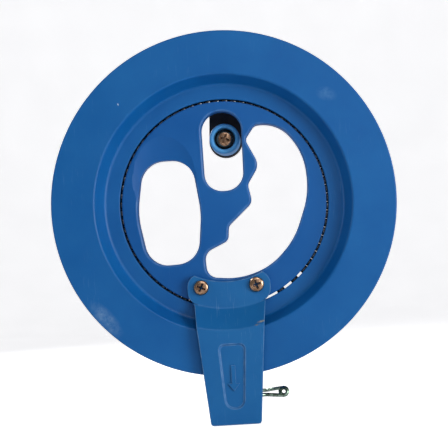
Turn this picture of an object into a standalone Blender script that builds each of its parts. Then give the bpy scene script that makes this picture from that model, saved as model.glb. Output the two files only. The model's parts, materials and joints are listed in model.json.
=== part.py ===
"""Hand-grip line reel: a spool wheel that turns on loose steel balls round a grip disc.

Run with: blender --background --python part.py

Frame: millimetres below, metres in the scene. +Z is up, the wheel's axle is the Y axis, and the front
of the reel looks along -Y. Pieces are drawn with the front face of the grip disc at depth zero, and hang
from an empty that brings the disc's back face to the origin.
"""

import math

import bmesh
import bpy
from mathutils import Matrix, Vector

MM = 0.001
MESH_GAP = 0.3  # kept between faces that touch on the real reel
CUT_OVERRUN = 1.0  # how far a cutter runs past the face it opens

# Wheel, flange to flange
RIM_RADIUS = 90.0
WHEEL_WIDTH = 44.0
RIM_EDGE = 2.2  # thickness of a flange at the rim
RIM_CHAMFER = 0.7
FLANGE_ROOT = 3.4  # thickness of a flange at the drum
RECESS_DEPTH = 10.5
RECESS_TAPER = 4.2  # how much wider the recess is at its mouth than at its floor
LEDGE_BESIDE_BALL = 3.3  # how much wider the recess floor is than a ball
WALL = 2.8
DRUM_WALL = 2.4
DRUM_SEAT = 0.6  # flat of the flange outside the drum, before it thins

# Grip disc
DISC_RADIUS = 53.6
DISC_THICKNESS = 10.0
DISC_CHAMFER = 0.5

# Ball race
BALL_DIAMETER = 4.5
RACE_GAP = 1.6  # open gap between the disc's edge and the wheel's bore
BALL_CLEARANCE = 0.3
BALL_SPACING = 0.04
MISSING_BALLS = 3  # how many more balls would fill the row
BALL_JOIN = 0.35  # half the thickness of the ring that stands for the row's hold on itself
SPARE_SHARES = (0.19, 0.31, 0.50)  # how the ring's spare length is shared by its last gaps
SPARE_START = math.radians(-43.0)  # where those gaps start, seen from the front

# Guide arm
ARM_THICKNESS = 3.5
ARM_PAST_RIM = 24.9  # how far its low end stands out past the rim
ARM_END_HALF_WIDTH = 13.0
ARM_END_ROUNDING = 1.6
ARM_ROOT_HALF_WIDTH = 18.7
ARM_RUNNING_GAP = 1.7  # between the arm and the turning flange
ARM_STEP_OFFSET = 0.8  # keeps the step as thick as the strip
ARM_LOBE_RADIUS = 7.3
ARM_SCREW_X = 14.5
PANEL_DEPTH = 0.7
PANEL_TOP_HALF_WIDTH = 7.6
PANEL_LOW_HALF_WIDTH = 5.2
PANEL_TOP_ROUNDING = 3.0
PANEL_LOW_ROUNDING = 4.8
PANEL_MARGIN = 7.9  # from the panel to the low end of the arm

# Line guide, a sprung wire loop over the groove
WIRE_DIAMETER = 2.0
GUIDE_PAST_RIM = 11.0
GUIDE_EYE_X = 25.0
GUIDE_EYE_RADIUS = 1.9
GUIDE_EYE_TURNS = 1.5
GUIDE_LEG_INSET = 5.0  # how far each leg stays inside the groove's side
BRACKET_X = -10.0
BRACKET_PLATE = 5.0
BRACKET_HEIGHT = 7.0
BRACKET_FOOT = 2.6
BRACKET_FOOT_LENGTH = 20.0
BRACKET_FILLET = 1.2
BRACKET_BEVEL = 1.5
HEAD_MARGIN = 0.4  # between a screw's head and the nearest edge or fillet

# Folding crank on the back of the wheel
CRANK_LEAN = math.radians(3.3)  # the wheel's parked angle, clockwise seen from the front
CRANK_REACH = 23.0  # from the hinge to the knob's axis
HINGE_PAST_BORE = 2.8
HINGE_PROUD = 0.5  # how far the hinge axis stands behind the rear flange
CRANK_WIDTH = 18.0
CRANK_THICKNESS = 5.0
CRANK_SUNK = 0.5  # how far the folded crank lies below the rear flange
KNUCKLE_RADIUS = 3.6
LUG_THICKNESS = 3.0
LUG_RADIUS = 3.9
HINGE_PIN_RADIUS = 1.5
PIN_HEAD_RADIUS = 2.7
PIN_HEAD_HEIGHT = 1.2
HINGE_WASHER = 0.6
PIN_END = 0.8  # how far the pin stands out past its clip
CLIP_THICKNESS = 0.8
POST_RADIUS = 4.0
KNOB_RADIUS = 8.1
KNOB_BEHIND_DISC = 0.8
KNOB_RECESS_RADIUS = 5.7
KNOB_RECESS_DEPTH = 4.6
KNOB_CHAMFER = 0.5
KNOB_WASHER = 0.8

# Screws
SCREW_CLEARANCE = 0.3
GUIDE_SCREW_RADIUS = 2.0
GUIDE_SCREW_HEAD = 3.95
GUIDE_SCREW_HEAD_HEIGHT = 2.0
GUIDE_SCREW_DEPTH = 7.0  # into the disc
KNOB_SCREW_RADIUS = 1.5
KNOB_SCREW_HEAD = 4.5
KNOB_SCREW_HEAD_HEIGHT = 1.9
KNOB_SCREW_DEPTH = 9.0  # into the post
SMALL_SCREW_RADIUS = 1.5
SMALL_SCREW_HEAD = 2.6
SMALL_SCREW_HEAD_HEIGHT = 1.7
RIM_SCREW_COUNT = 6
BOSS_SHORT = 0.2  # how far each half's boss stops before the joint
RIM_SCREW_BITE = 3.2  # into the front half's boss
BRACKET_SCREW_BITE = 1.8
ANCHOR_ANGLE = math.radians(152.0)
ANCHOR_SCREW_PAST_WALL = 1.8

# Facets
WHEEL_STEPS = 72
SMALL_STEPS = 12

GUIDE_SCREW = (GUIDE_SCREW_RADIUS, GUIDE_SCREW_HEAD, GUIDE_SCREW_HEAD_HEIGHT)
KNOB_SCREW = (KNOB_SCREW_RADIUS, KNOB_SCREW_HEAD, KNOB_SCREW_HEAD_HEIGHT)
SMALL_SCREW = (SMALL_SCREW_RADIUS, SMALL_SCREW_HEAD, SMALL_SCREW_HEAD_HEIGHT)

# Places that follow from the sizes above. Depths are along +Y, from the disc's front face.
FRONT_PLANE = -RECESS_DEPTH
REAR_PLANE = FRONT_PLANE + WHEEL_WIDTH
REAR_LEDGE = REAR_PLANE - RECESS_DEPTH
RACE_PLANE = DISC_THICKNESS / 2
BORE_RADIUS = DISC_RADIUS + RACE_GAP
BALL_CIRCLE = DISC_RADIUS + RACE_GAP / 2
BALL_PITCH = 2 * math.asin((BALL_DIAMETER + BALL_SPACING) / 2 / BALL_CIRCLE)
BALL_COUNT = int(2 * math.pi / BALL_PITCH) - MISSING_BALLS
GROOVE_RADIUS = BALL_DIAMETER / 2 + BALL_CLEARANCE
RECESS_FLOOR_RADIUS = BORE_RADIUS + BALL_DIAMETER + LEDGE_BESIDE_BALL
RECESS_MOUTH_RADIUS = RECESS_FLOOR_RADIUS + RECESS_TAPER
RECESS_SLOPE = RECESS_TAPER / RECESS_DEPTH
FLANGE_INNER_RADIUS = RECESS_MOUTH_RADIUS - RECESS_SLOPE * FLANGE_ROOT + WALL
DRUM_RADIUS = FLANGE_INNER_RADIUS + MESH_GAP + DRUM_WALL
SKIRT_RADIUS = BORE_RADIUS + WALL + 0.6
RIM_SCREW_CIRCLE = RECESS_FLOOR_RADIUS - SMALL_SCREW_HEAD - 0.1
RIM_BOSS_RADIUS = RIM_SCREW_CIRCLE - BALL_CIRCLE - GROOVE_RADIUS - 0.3
HINGE_RADIUS = BORE_RADIUS + HINGE_PAST_BORE
KNOB_ORBIT = HINGE_RADIUS - CRANK_REACH
HINGE_DEPTH = REAR_PLANE + HINGE_PROUD
CRANK_BACK = REAR_PLANE - CRANK_SUNK
CRANK_FRONT = CRANK_BACK - CRANK_THICKNESS
KNOB_FACE = DISC_THICKNESS + KNOB_BEHIND_DISC
KNOB_SHOULDER = KNOB_FACE + KNOB_RECESS_DEPTH
POST_END = KNOB_SHOULDER - MESH_GAP
LUG_INNER = CRANK_WIDTH / 2 + HINGE_WASHER + 2 * MESH_GAP
LUG_OUTER = LUG_INNER + LUG_THICKNESS
ARM_BACK_LOW = FRONT_PLANE - ARM_RUNNING_GAP
ARM_FACE_HIGH = -MESH_GAP - ARM_THICKNESS
ARM_FACE_LOW = ARM_BACK_LOW - ARM_THICKNESS
ARM_TOP_RADIUS = DISC_RADIUS - 12.6
ARM_SCREW_DROP = DISC_RADIUS - 10.1
ARM_ROOT_DROP = DISC_RADIUS - 2.8
ARM_STEP_START = DISC_RADIUS + 1.4
ARM_STEP_END = RECESS_MOUTH_RADIUS - 1.2
ARM_END = RIM_RADIUS + ARM_PAST_RIM
PANEL_TOP = RECESS_MOUTH_RADIUS + 5.5
PANEL_LOW = ARM_END - PANEL_MARGIN
GUIDE_DROP = RIM_RADIUS + GUIDE_PAST_RIM
GUIDE_NEAR_LEG = FRONT_PLANE + GUIDE_LEG_INSET
GUIDE_FAR_LEG = REAR_PLANE - GUIDE_LEG_INSET

# Openings of the grip disc: corners of each outline with the radius that rounds them, for a disc of
# OUTLINE_DISC_RADIUS, to which they are scaled
OUTLINE_DISC_RADIUS = 53.6
PALM_HOLE = [
    (-46.3, -3.0, 45.0), (-41.3, -31.0, 12.5), (-15.3, -30.2, 12.5),
    (-12.4, -4.0, 50.0), (-16.0, 24.6, 12.5), (-41.8, 24.6, 13.0),
]
CRANK_SLOT = [(-9.9, 48.6, 10.3), (11.6, 48.6, 10.3), (10.9, 6.6, 9.7), (-9.6, 6.6, 9.7)]
FINGER_HOLE = [
    (18.2, 40.3, 3.5), (13.0, 33.2, 3.5), (19.6, 19.5, 7.0), (13.0, 9.5, 4.0), (14.8, -0.2, 5.0),
    (1.6, -12.0, 4.0), (0.9, -19.6, 4.0), (-12.0, -25.4, 6.0), (-11.3, -38.2, 6.0), (6.0, -40.0, 25.0),
    (23.5, -34.3, 25.0), (37.0, -20.0, 25.0), (44.6, 3.0, 30.0), (42.3, 23.5, 22.0), (29.0, 40.3, 14.0),
]


def clear_scene():
    for obj in list(bpy.data.objects):
        bpy.data.objects.remove(obj, do_unlink=True)


def material(name, colour, roughness, metallic=0.0):
    made = bpy.data.materials.new(name)
    made.use_nodes = True
    shader = made.node_tree.nodes["Principled BSDF"]
    shader.inputs["Base Color"].default_value = (*colour, 1.0)
    shader.inputs["Roughness"].default_value = roughness
    shader.inputs["Metallic"].default_value = metallic
    return made


def add_object(name, bm, finish=None, parent=None):
    """The bmesh, drawn in millimetres, becomes a metre-sized object with its faces outward."""
    bmesh.ops.remove_doubles(bm, verts=bm.verts, dist=1e-4)
    bmesh.ops.recalc_face_normals(bm, faces=bm.faces)
    bmesh.ops.scale(bm, vec=(MM, MM, MM), verts=bm.verts)
    mesh = bpy.data.meshes.new(name)
    bm.to_mesh(mesh)
    bm.free()
    mesh.shade_smooth()
    mesh.set_sharp_from_angle(angle=math.radians(35))
    obj = bpy.data.objects.new(name, mesh)
    bpy.context.scene.collection.objects.link(obj)
    if finish:
        mesh.materials.append(finish)
    if parent:
        obj.parent = parent
    return obj


def cutter(name, bm, parent=None):
    tool = add_object(name, bm, parent=parent)
    tool.hide_render = True
    tool.display_type = "WIRE"
    return tool


def boolean(target, tool, operation):
    step = target.modifiers.new(tool.name, "BOOLEAN")
    step.operation = operation
    step.object = tool


def arc(centre, radius, start, end, steps):
    """Points on an arc, as (first, second) coordinates; angles in radians."""
    angles = [start + (end - start) * i / steps for i in range(steps + 1)]
    return [(centre[0] + radius * math.cos(a), centre[1] + radius * math.sin(a)) for a in angles]


def rounded(corners, steps=5):
    """A closed outline from (x, z, radius) corners, each corner replaced by its arc."""
    outline = []
    for index, (x, z, radius) in enumerate(corners):
        corner = Vector((x, z))
        back = (Vector(corners[index - 1][:2]) - corner).normalized()
        ahead = (Vector(corners[(index + 1) % len(corners)][:2]) - corner).normalized()
        half = back.angle(ahead) / 2
        centre = corner + (back + ahead).normalized() * radius / math.sin(half)
        tangent = radius / math.tan(half)
        first = corner + back * tangent - centre
        last = corner + ahead * tangent - centre
        start = math.atan2(first.y, first.x)
        turn = (math.atan2(last.y, last.x) - start + math.pi) % (2 * math.pi) - math.pi
        outline += arc(centre, radius, start, start + turn, steps)
    return outline


def turned(bm, profile, steps, place=None, closed=True):
    """Spins a profile of (radius, depth) points about the Y axis, then moves it to its place."""
    made = [bm.verts.new((radius, depth, 0.0)) for radius, depth in profile]
    pairs = list(zip(made, made[1:]))
    if closed:
        pairs.append((made[-1], made[0]))
    edges = [bm.edges.new(pair) for pair in pairs]
    known = set(bm.verts) - set(made)
    round_y = {"axis": (0, 1, 0), "cent": (0, 0, 0), "angle": 2 * math.pi}
    bmesh.ops.spin(bm, geom=made + edges, steps=steps, use_merge=True, **round_y)
    fresh = [v for v in bm.verts if v not in known]
    bmesh.ops.remove_doubles(bm, verts=fresh, dist=1e-4)
    if place:
        fresh = [v for v in bm.verts if v not in known]
        bmesh.ops.transform(bm, matrix=place, verts=fresh)


def prism(bm, outline, near, far, place=None):
    """Extrudes an outline of (x, z) points along Y."""
    face = bm.faces.new([bm.verts.new((x, near, z)) for x, z in outline])
    pushed = bmesh.ops.extrude_face_region(bm, geom=[face])
    moved = [v for v in pushed["geom"] if isinstance(v, bmesh.types.BMVert)]
    bmesh.ops.translate(bm, vec=(0, far - near, 0), verts=moved)
    if place:
        bmesh.ops.transform(bm, matrix=place, verts=list(face.verts) + moved)


def rod(bm, radius, near, far, place=None, steps=SMALL_STEPS):
    turned(bm, [(0, near), (radius, near), (radius, far), (0, far)], steps, place, closed=False)


def ring(bm, inner, outer, near, far, place=None, steps=SMALL_STEPS):
    turned(bm, [(inner, near), (outer, near), (outer, far), (inner, far)], steps, place)


def pan_screw(bm, sizes, length, place):
    """Head on the -Y side: its seat is at depth 0 and its crown is rounded."""
    radius, head, height = sizes
    crown = [(0, -height), (head * 0.5, -height * 0.93), (head * 0.86, -height * 0.6)]
    shank = [(head, -height * 0.2), (head, 0), (radius, 0), (radius, length - radius), (0, length)]
    turned(bm, crown + shank, SMALL_STEPS, place, closed=False)


def along_x(x, z, y):
    """Puts a piece drawn along Y on a line along X, through (x, y, z)."""
    return Matrix.Translation((x, y, z)) @ Matrix.Rotation(math.radians(-90), 4, "Z")


def flipped(x, y, z):
    """Turns a piece drawn along Y to face the back, at (x, y, z)."""
    return Matrix.Translation((x, y, z)) @ Matrix.Rotation(math.pi, 4, "Z")


def rim_screw_places():
    """Centres of the screws that join the wheel's halves, clear of the crank's hinge at the top."""
    step = 2 * math.pi / RIM_SCREW_COUNT
    angles = [math.pi / 2 + math.pi / WHEEL_STEPS + step * (i + 0.5) for i in range(RIM_SCREW_COUNT)]
    return [(RIM_SCREW_CIRCLE * math.cos(a), RIM_SCREW_CIRCLE * math.sin(a)) for a in angles]


def race_half(side):
    """The wheel's half of the ball groove, from the bore to the joint between the halves."""
    reach = math.acos((BORE_RADIUS - BALL_CIRCLE) / GROOVE_RADIUS)
    joint = math.asin(MESH_GAP / 2 / GROOVE_RADIUS)
    return arc((BALL_CIRCLE, RACE_PLANE), GROOVE_RADIUS, side * reach, side * joint, 3)


def wheel_half(side):
    """Profile of the front half (side -1) or the rear half (side 1) of the wheel."""
    face = FRONT_PLANE if side < 0 else REAR_PLANE
    inward = -side
    ledge = face + inward * RECESS_DEPTH
    joint = RACE_PLANE + side * MESH_GAP / 2
    back = ledge + inward * WALL
    cone_back = RECESS_FLOOR_RADIUS + WALL - RECESS_SLOPE * WALL
    root = face + inward * FLANGE_ROOT
    edge = face + inward * RIM_EDGE
    recess = [(RIM_RADIUS - RIM_CHAMFER, face), (RECESS_MOUTH_RADIUS, face), (RECESS_FLOOR_RADIUS, ledge)]
    race = [(BORE_RADIUS, ledge)] + race_half(side) + [(SKIRT_RADIUS, joint), (SKIRT_RADIUS, back)]
    seat = [(cone_back, back), (FLANGE_INNER_RADIUS, root), (DRUM_RADIUS + DRUM_SEAT, root)]
    rim = [(RIM_RADIUS - RIM_CHAMFER, edge), (RIM_RADIUS, edge - inward * RIM_CHAMFER)]
    return recess + race + seat + rim + [(RIM_RADIUS, face + inward * RIM_CHAMFER)]


def make_grip_disc(finish):
    edge = RACE_GAP / 2
    reach = math.acos(edge / GROOVE_RADIUS)
    groove = arc((BALL_CIRCLE, RACE_PLANE), GROOVE_RADIUS, math.pi + reach, math.pi - reach, 6)
    flat = DISC_RADIUS - DISC_CHAMFER
    front = [(0, 0), (flat, 0), (DISC_RADIUS, DISC_CHAMFER)]
    back = [(DISC_RADIUS, DISC_THICKNESS - DISC_CHAMFER), (flat, DISC_THICKNESS), (0, DISC_THICKNESS)]
    bm = bmesh.new()
    turned(bm, front + groove + back, WHEEL_STEPS, closed=False)
    disc = add_object("grip_disc", bm, finish)
    scale = DISC_RADIUS / OUTLINE_DISC_RADIUS
    openings = {"palm_cut": PALM_HOLE, "slot_cut": CRANK_SLOT, "finger_cut": FINGER_HOLE}
    for name, corners in openings.items():
        bm = bmesh.new()
        outline = rounded([[value * scale for value in corner] for corner in corners])
        prism(bm, outline, -CUT_OVERRUN, DISC_THICKNESS + CUT_OVERRUN)
        boolean(disc, cutter(name, bm), "DIFFERENCE")
    bm = bmesh.new()
    for side in (-1, 1):
        place = Matrix.Translation((side * ARM_SCREW_X, 0, -ARM_SCREW_DROP))
        hole = GUIDE_SCREW_RADIUS + SCREW_CLEARANCE
        rod(bm, hole, -CUT_OVERRUN, GUIDE_SCREW_DEPTH + SCREW_CLEARANCE, place)
    boolean(disc, cutter("arm_screw_holes", bm), "DIFFERENCE")
    return disc


def arm_outline():
    """The arm from the front: two round lobes for its screws, sides that narrow, and a square low end."""
    lobe_x = ARM_SCREW_X + ARM_LOBE_RADIUS
    lobe_top = -ARM_SCREW_DROP + ARM_LOBE_RADIUS
    lobe_low = -ARM_SCREW_DROP - ARM_LOBE_RADIUS
    lobe = ARM_LOBE_RADIUS * 0.97
    neck = (ARM_ROOT_HALF_WIDTH, -ARM_ROOT_DROP - 1, 1.0)
    right = [neck, (lobe_x, lobe_low, lobe), (lobe_x, lobe_top, lobe)]
    left = [(-x, z, radius) for x, z, radius in reversed(right)]
    ends = [(side * ARM_END_HALF_WIDTH, -ARM_END, ARM_END_ROUNDING) for side in (-1, 1)]
    return rounded(ends + right + left)


def make_guide_arm(finish):
    """A stepped strip: flat on the disc, rising over the recess, then flat in front of the flange."""
    high, low = ARM_FACE_HIGH, ARM_FACE_LOW
    far = ARM_END + 2 * ARM_END_HALF_WIDTH
    under = [(ARM_TOP_RADIUS, -MESH_GAP), (ARM_STEP_START, -MESH_GAP), (ARM_STEP_END, ARM_BACK_LOW)]
    ends = [(far, ARM_BACK_LOW), (far, low)]
    over = [(ARM_STEP_END + ARM_STEP_OFFSET, low), (ARM_STEP_START + ARM_STEP_OFFSET, high)]
    over.append((ARM_TOP_RADIUS, high))
    bm = bmesh.new()
    turned(bm, under + ends + over, WHEEL_STEPS)
    arm = add_object("guide_arm", bm, finish)
    bm = bmesh.new()
    prism(bm, arm_outline(), low - ARM_THICKNESS, CUT_OVERRUN)
    boolean(arm, cutter("arm_outline", bm), "INTERSECT")
    top = [(side * PANEL_TOP_HALF_WIDTH, -PANEL_TOP, PANEL_TOP_ROUNDING) for side in (-1, 1)]
    bottom = [(side * PANEL_LOW_HALF_WIDTH, -PANEL_LOW, PANEL_LOW_ROUNDING) for side in (1, -1)]
    bm = bmesh.new()
    prism(bm, rounded(top + bottom), low - CUT_OVERRUN, low + PANEL_DEPTH)
    boolean(arm, cutter("arm_panel", bm), "DIFFERENCE")
    bm = bmesh.new()
    for side in (-1, 1):
        place = Matrix.Translation((side * ARM_SCREW_X, 0, -ARM_SCREW_DROP))
        rod(bm, GUIDE_SCREW_RADIUS + SCREW_CLEARANCE, high - CUT_OVERRUN, CUT_OVERRUN, place)
    end = ARM_BACK_LOW - BRACKET_SCREW_BITE - SCREW_CLEARANCE
    for x, z in bracket_screw_places():
        place = Matrix.Translation((x, 0, z))
        rod(bm, SMALL_SCREW_RADIUS + SCREW_CLEARANCE, end, ARM_BACK_LOW + CUT_OVERRUN, place)
    boolean(arm, cutter("arm_holes", bm), "DIFFERENCE")
    return arm


def bracket_screw_places():
    room = SMALL_SCREW_HEAD + HEAD_MARGIN
    first = BRACKET_X + BRACKET_PLATE / 2 + BRACKET_FILLET + room
    last = BRACKET_X - BRACKET_PLATE / 2 + BRACKET_FOOT_LENGTH - room
    return [(first, -GUIDE_DROP), (last, -GUIDE_DROP)]


def make_guide_bracket(finish):
    """A foot on the arm's back and a plate across the groove, which holds both legs of the wire."""
    near = ARM_BACK_LOW + MESH_GAP
    foot = near + BRACKET_FOOT
    back = GUIDE_FAR_LEG + WIRE_DIAMETER + BRACKET_BEVEL
    left, right = BRACKET_X - BRACKET_PLATE / 2, BRACKET_X + BRACKET_PLATE / 2
    tip = left + BRACKET_FOOT_LENGTH
    outline = [(left, near), (tip, near), (tip, foot), (right + BRACKET_FILLET, foot)]
    outline += [(right, foot + BRACKET_FILLET), (right, back - BRACKET_BEVEL), (right - BRACKET_BEVEL, back)]
    outline += [(left + BRACKET_BEVEL, back), (left, back - BRACKET_BEVEL)]
    bm = bmesh.new()
    upright = Matrix(((1, 0, 0, 0), (0, 0, 1, 0), (0, 1, 0, 0), (0, 0, 0, 1)))
    prism(bm, outline, -GUIDE_DROP - BRACKET_HEIGHT / 2, -GUIDE_DROP + BRACKET_HEIGHT / 2, upright)
    bracket = add_object("guide_bracket", bm, finish)
    bm = bmesh.new()
    hole = WIRE_DIAMETER / 2 + MESH_GAP
    for depth in (GUIDE_NEAR_LEG, GUIDE_FAR_LEG):
        rod(bm, hole, -BRACKET_PLATE, BRACKET_PLATE, along_x(BRACKET_X, -GUIDE_DROP, depth))
    hole = SMALL_SCREW_RADIUS + SCREW_CLEARANCE
    for x, z in bracket_screw_places():
        rod(bm, hole, near - CUT_OVERRUN, foot + CUT_OVERRUN, Matrix.Translation((x, 0, z)))
    boolean(bracket, cutter("bracket_holes", bm), "DIFFERENCE")
    return bracket


def make_line_guide(finish):
    """Spring wire: two legs across the groove that meet in a small coil, as on a safety pin."""
    near, far = GUIDE_NEAR_LEG, GUIDE_FAR_LEG
    middle = (near + far) / 2
    rise = GUIDE_EYE_RADIUS
    pitch = WIRE_DIAMETER + 2 * MESH_GAP
    start = BRACKET_X - BRACKET_PLATE / 2
    bend = ARM_END_HALF_WIDTH
    narrow = (far - near) * 0.22  # half the distance between the legs just before the coil
    leg = [(start, near, 0.0), (0.0, near, 0.0), (bend - 3, near, 0.0)]
    leg += [(bend + 3, near + 2.6, -0.2), (bend + 6.5, middle - narrow, -rise * 0.55)]
    coil = []
    coil_steps = 18
    for i in range(coil_steps + 1):
        share = i / coil_steps
        angle = -math.pi / 2 + 2 * math.pi * GUIDE_EYE_TURNS * share
        depth = middle + pitch * GUIDE_EYE_TURNS * (share - 0.5)
        coil.append((GUIDE_EYE_X + rise * math.cos(angle), depth, rise * math.sin(angle)))
    route = leg + coil + [(x, 2 * middle - depth, -z) for x, depth, z in reversed(leg)]
    wire = bpy.data.curves.new("line_guide", "CURVE")
    wire.dimensions = "3D"
    wire.bevel_depth = WIRE_DIAMETER / 2 * MM
    wire.bevel_resolution = 2
    wire.use_fill_caps = True
    line = wire.splines.new("POLY")
    line.points.add(len(route) - 1)
    for point, (x, y, z) in zip(line.points, route):
        point.co = (x * MM, y * MM, (z - GUIDE_DROP) * MM, 1.0)
    wire.materials.append(finish)
    guide = bpy.data.objects.new("line_guide", wire)
    bpy.context.scene.collection.objects.link(guide)
    return guide


def make_front_rim(finish, wheel):
    bm = bmesh.new()
    turned(bm, wheel_half(-1), WHEEL_STEPS)
    rim = add_object("front_rim", bm, finish, wheel)
    joint = RACE_PLANE - MESH_GAP / 2
    bm = bmesh.new()
    for x, z in rim_screw_places():
        rod(bm, RIM_BOSS_RADIUS, WALL / 2, joint - BOSS_SHORT, Matrix.Translation((x, 0, z)))
    boolean(rim, cutter("front_bosses", bm, wheel), "UNION")
    bm = bmesh.new()
    for x, z in rim_screw_places():
        place = Matrix.Translation((x, 0, z))
        rod(bm, SMALL_SCREW_RADIUS + SCREW_CLEARANCE, joint - RIM_SCREW_BITE, joint + CUT_OVERRUN, place)
    boolean(rim, cutter("front_boss_holes", bm, wheel), "DIFFERENCE")
    return rim


def make_rear_rim(finish, wheel):
    bm = bmesh.new()
    turned(bm, wheel_half(1), WHEEL_STEPS)
    rim = add_object("rear_rim", bm, finish, wheel)
    joint = RACE_PLANE + MESH_GAP / 2
    root = REAR_LEDGE - WALL / 2
    bm = bmesh.new()
    for x, z in rim_screw_places():
        rod(bm, RIM_BOSS_RADIUS, joint + BOSS_SHORT, root, Matrix.Translation((x, 0, z)))
    boolean(rim, cutter("rear_bosses", bm, wheel), "UNION")
    bm = bmesh.new()
    round_end = arc((HINGE_RADIUS, HINGE_DEPTH), LUG_RADIUS, math.pi, 0, 8)
    lug = [(HINGE_RADIUS - LUG_RADIUS, root)] + round_end + [(HINGE_RADIUS + LUG_RADIUS, root)]
    sideways = Matrix(((0, 1, 0, 0), (0, 0, 1, 0), (1, 0, 0, 0), (0, 0, 0, 1)))
    for near, far in ((LUG_INNER, LUG_OUTER), (-LUG_OUTER, -LUG_INNER)):
        prism(bm, lug, near, far, sideways)
    boolean(rim, cutter("hinge_lugs", bm, wheel), "UNION")
    bm = bmesh.new()
    hole = SMALL_SCREW_RADIUS + SCREW_CLEARANCE
    for x, z in rim_screw_places():
        rod(bm, hole, joint - CUT_OVERRUN, REAR_LEDGE + CUT_OVERRUN, Matrix.Translation((x, 0, z)))
    boolean(rim, cutter("rear_boss_holes", bm, wheel), "DIFFERENCE")
    bm = bmesh.new()
    reach = LUG_OUTER + CUT_OVERRUN
    rod(bm, HINGE_PIN_RADIUS + MESH_GAP, -reach, reach, along_x(0, HINGE_RADIUS, HINGE_DEPTH))
    boolean(rim, cutter("pin_hole", bm, wheel), "DIFFERENCE")
    return rim


def make_drum(finish, wheel):
    """The ring that the line is wound on, held between the wheel's halves."""
    near = FRONT_PLANE + FLANGE_ROOT + MESH_GAP
    far = REAR_PLANE - FLANGE_ROOT - MESH_GAP
    bm = bmesh.new()
    ring(bm, DRUM_RADIUS - DRUM_WALL, DRUM_RADIUS, near, far, steps=WHEEL_STEPS)
    drum = add_object("drum_ring", bm, finish, wheel)
    bm = bmesh.new()
    hole = SMALL_SCREW_RADIUS + SCREW_CLEARANCE
    rod(bm, hole, DRUM_RADIUS - DRUM_WALL - CUT_OVERRUN, DRUM_RADIUS + CUT_OVERRUN, anchor_place())
    boolean(drum, cutter("anchor_hole", bm, wheel), "DIFFERENCE")
    return drum


def anchor_place():
    """Turns a piece drawn along Y to point outward from the drum, in the middle of the groove."""
    depth = (FRONT_PLANE + REAR_PLANE) / 2
    turn = Matrix.Rotation(-ANCHOR_ANGLE, 4, "Y")
    return Matrix.Translation((0, depth, 0)) @ turn @ Matrix.Rotation(math.radians(-90), 4, "Z")


def make_wheel_fasteners(finish, wheel):
    length = REAR_LEDGE - RACE_PLANE + RIM_SCREW_BITE - 2 * MESH_GAP
    for number, (x, z) in enumerate(rim_screw_places(), 1):
        bm = bmesh.new()
        pan_screw(bm, SMALL_SCREW, length, flipped(x, REAR_LEDGE + MESH_GAP, z))
        add_object(f"rim_screw_{number}", bm, finish, wheel)
    bm = bmesh.new()
    place = anchor_place() @ flipped(0, DRUM_RADIUS + MESH_GAP, 0)
    pan_screw(bm, SMALL_SCREW, DRUM_WALL + MESH_GAP + ANCHOR_SCREW_PAST_WALL, place)
    add_object("line_anchor_screw", bm, finish, wheel)


def make_hinge_hardware(finish, wheel):
    place = along_x(0, HINGE_RADIUS, HINGE_DEPTH)
    clip = LUG_OUTER + MESH_GAP
    seat = -clip
    crown = seat - PIN_HEAD_HEIGHT
    end = clip + CLIP_THICKNESS + MESH_GAP + PIN_END
    profile = [(0, crown), (PIN_HEAD_RADIUS * 0.7, crown), (PIN_HEAD_RADIUS, seat - PIN_HEAD_HEIGHT / 2)]
    profile += [(PIN_HEAD_RADIUS, seat), (HINGE_PIN_RADIUS, seat), (HINGE_PIN_RADIUS, end), (0, end)]
    bm = bmesh.new()
    turned(bm, profile, SMALL_STEPS, place, closed=False)
    add_object("hinge_pin", bm, finish, wheel)
    hole = HINGE_PIN_RADIUS + MESH_GAP
    bm = bmesh.new()
    ring(bm, hole, PIN_HEAD_RADIUS + MESH_GAP, clip, clip + CLIP_THICKNESS, place)
    add_object("hinge_pin_clip", bm, finish, wheel)
    for name, side in (("hinge_washer_left", -1), ("hinge_washer_right", 1)):
        near = side * (CRANK_WIDTH / 2 + MESH_GAP)
        bm = bmesh.new()
        ring(bm, hole, KNUCKLE_RADIUS - 0.2, near, near + side * HINGE_WASHER, place)
        add_object(name, bm, finish, wheel)


def ball_angles():
    """Balls lie shoulder to shoulder, except for a few open gaps at the end of the row."""
    spare = 2 * math.pi - BALL_PITCH * BALL_COUNT
    angle = SPARE_START
    angles = [angle]
    for share in SPARE_SHARES[:-1]:
        angle -= BALL_PITCH + spare * share
        angles.append(angle)
    angle -= spare * SPARE_SHARES[-1]
    while len(angles) < BALL_COUNT:
        angle -= BALL_PITCH
        angles.append(angle)
    return angles


def make_balls(finish):
    """The whole row of balls turns as one piece, so a thin ring through their centres joins them here."""
    bm = bmesh.new()
    low, high = RACE_PLANE - BALL_JOIN, RACE_PLANE + BALL_JOIN
    ring(bm, BALL_CIRCLE - BALL_JOIN, BALL_CIRCLE + BALL_JOIN, low, high, steps=WHEEL_STEPS // 2)
    row = add_object("race_balls", bm, finish)
    bm = bmesh.new()
    upright = Matrix.Translation((BALL_CIRCLE, RACE_PLANE, 0)) @ Matrix.Rotation(math.radians(90), 4, "X")
    for angle in ball_angles():
        place = Matrix.Rotation(-angle, 4, "Y") @ upright
        bmesh.ops.create_uvsphere(bm, u_segments=6, v_segments=4, radius=BALL_DIAMETER / 2, matrix=place)
    boolean(row, cutter("balls", bm), "UNION")
    return row


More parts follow.
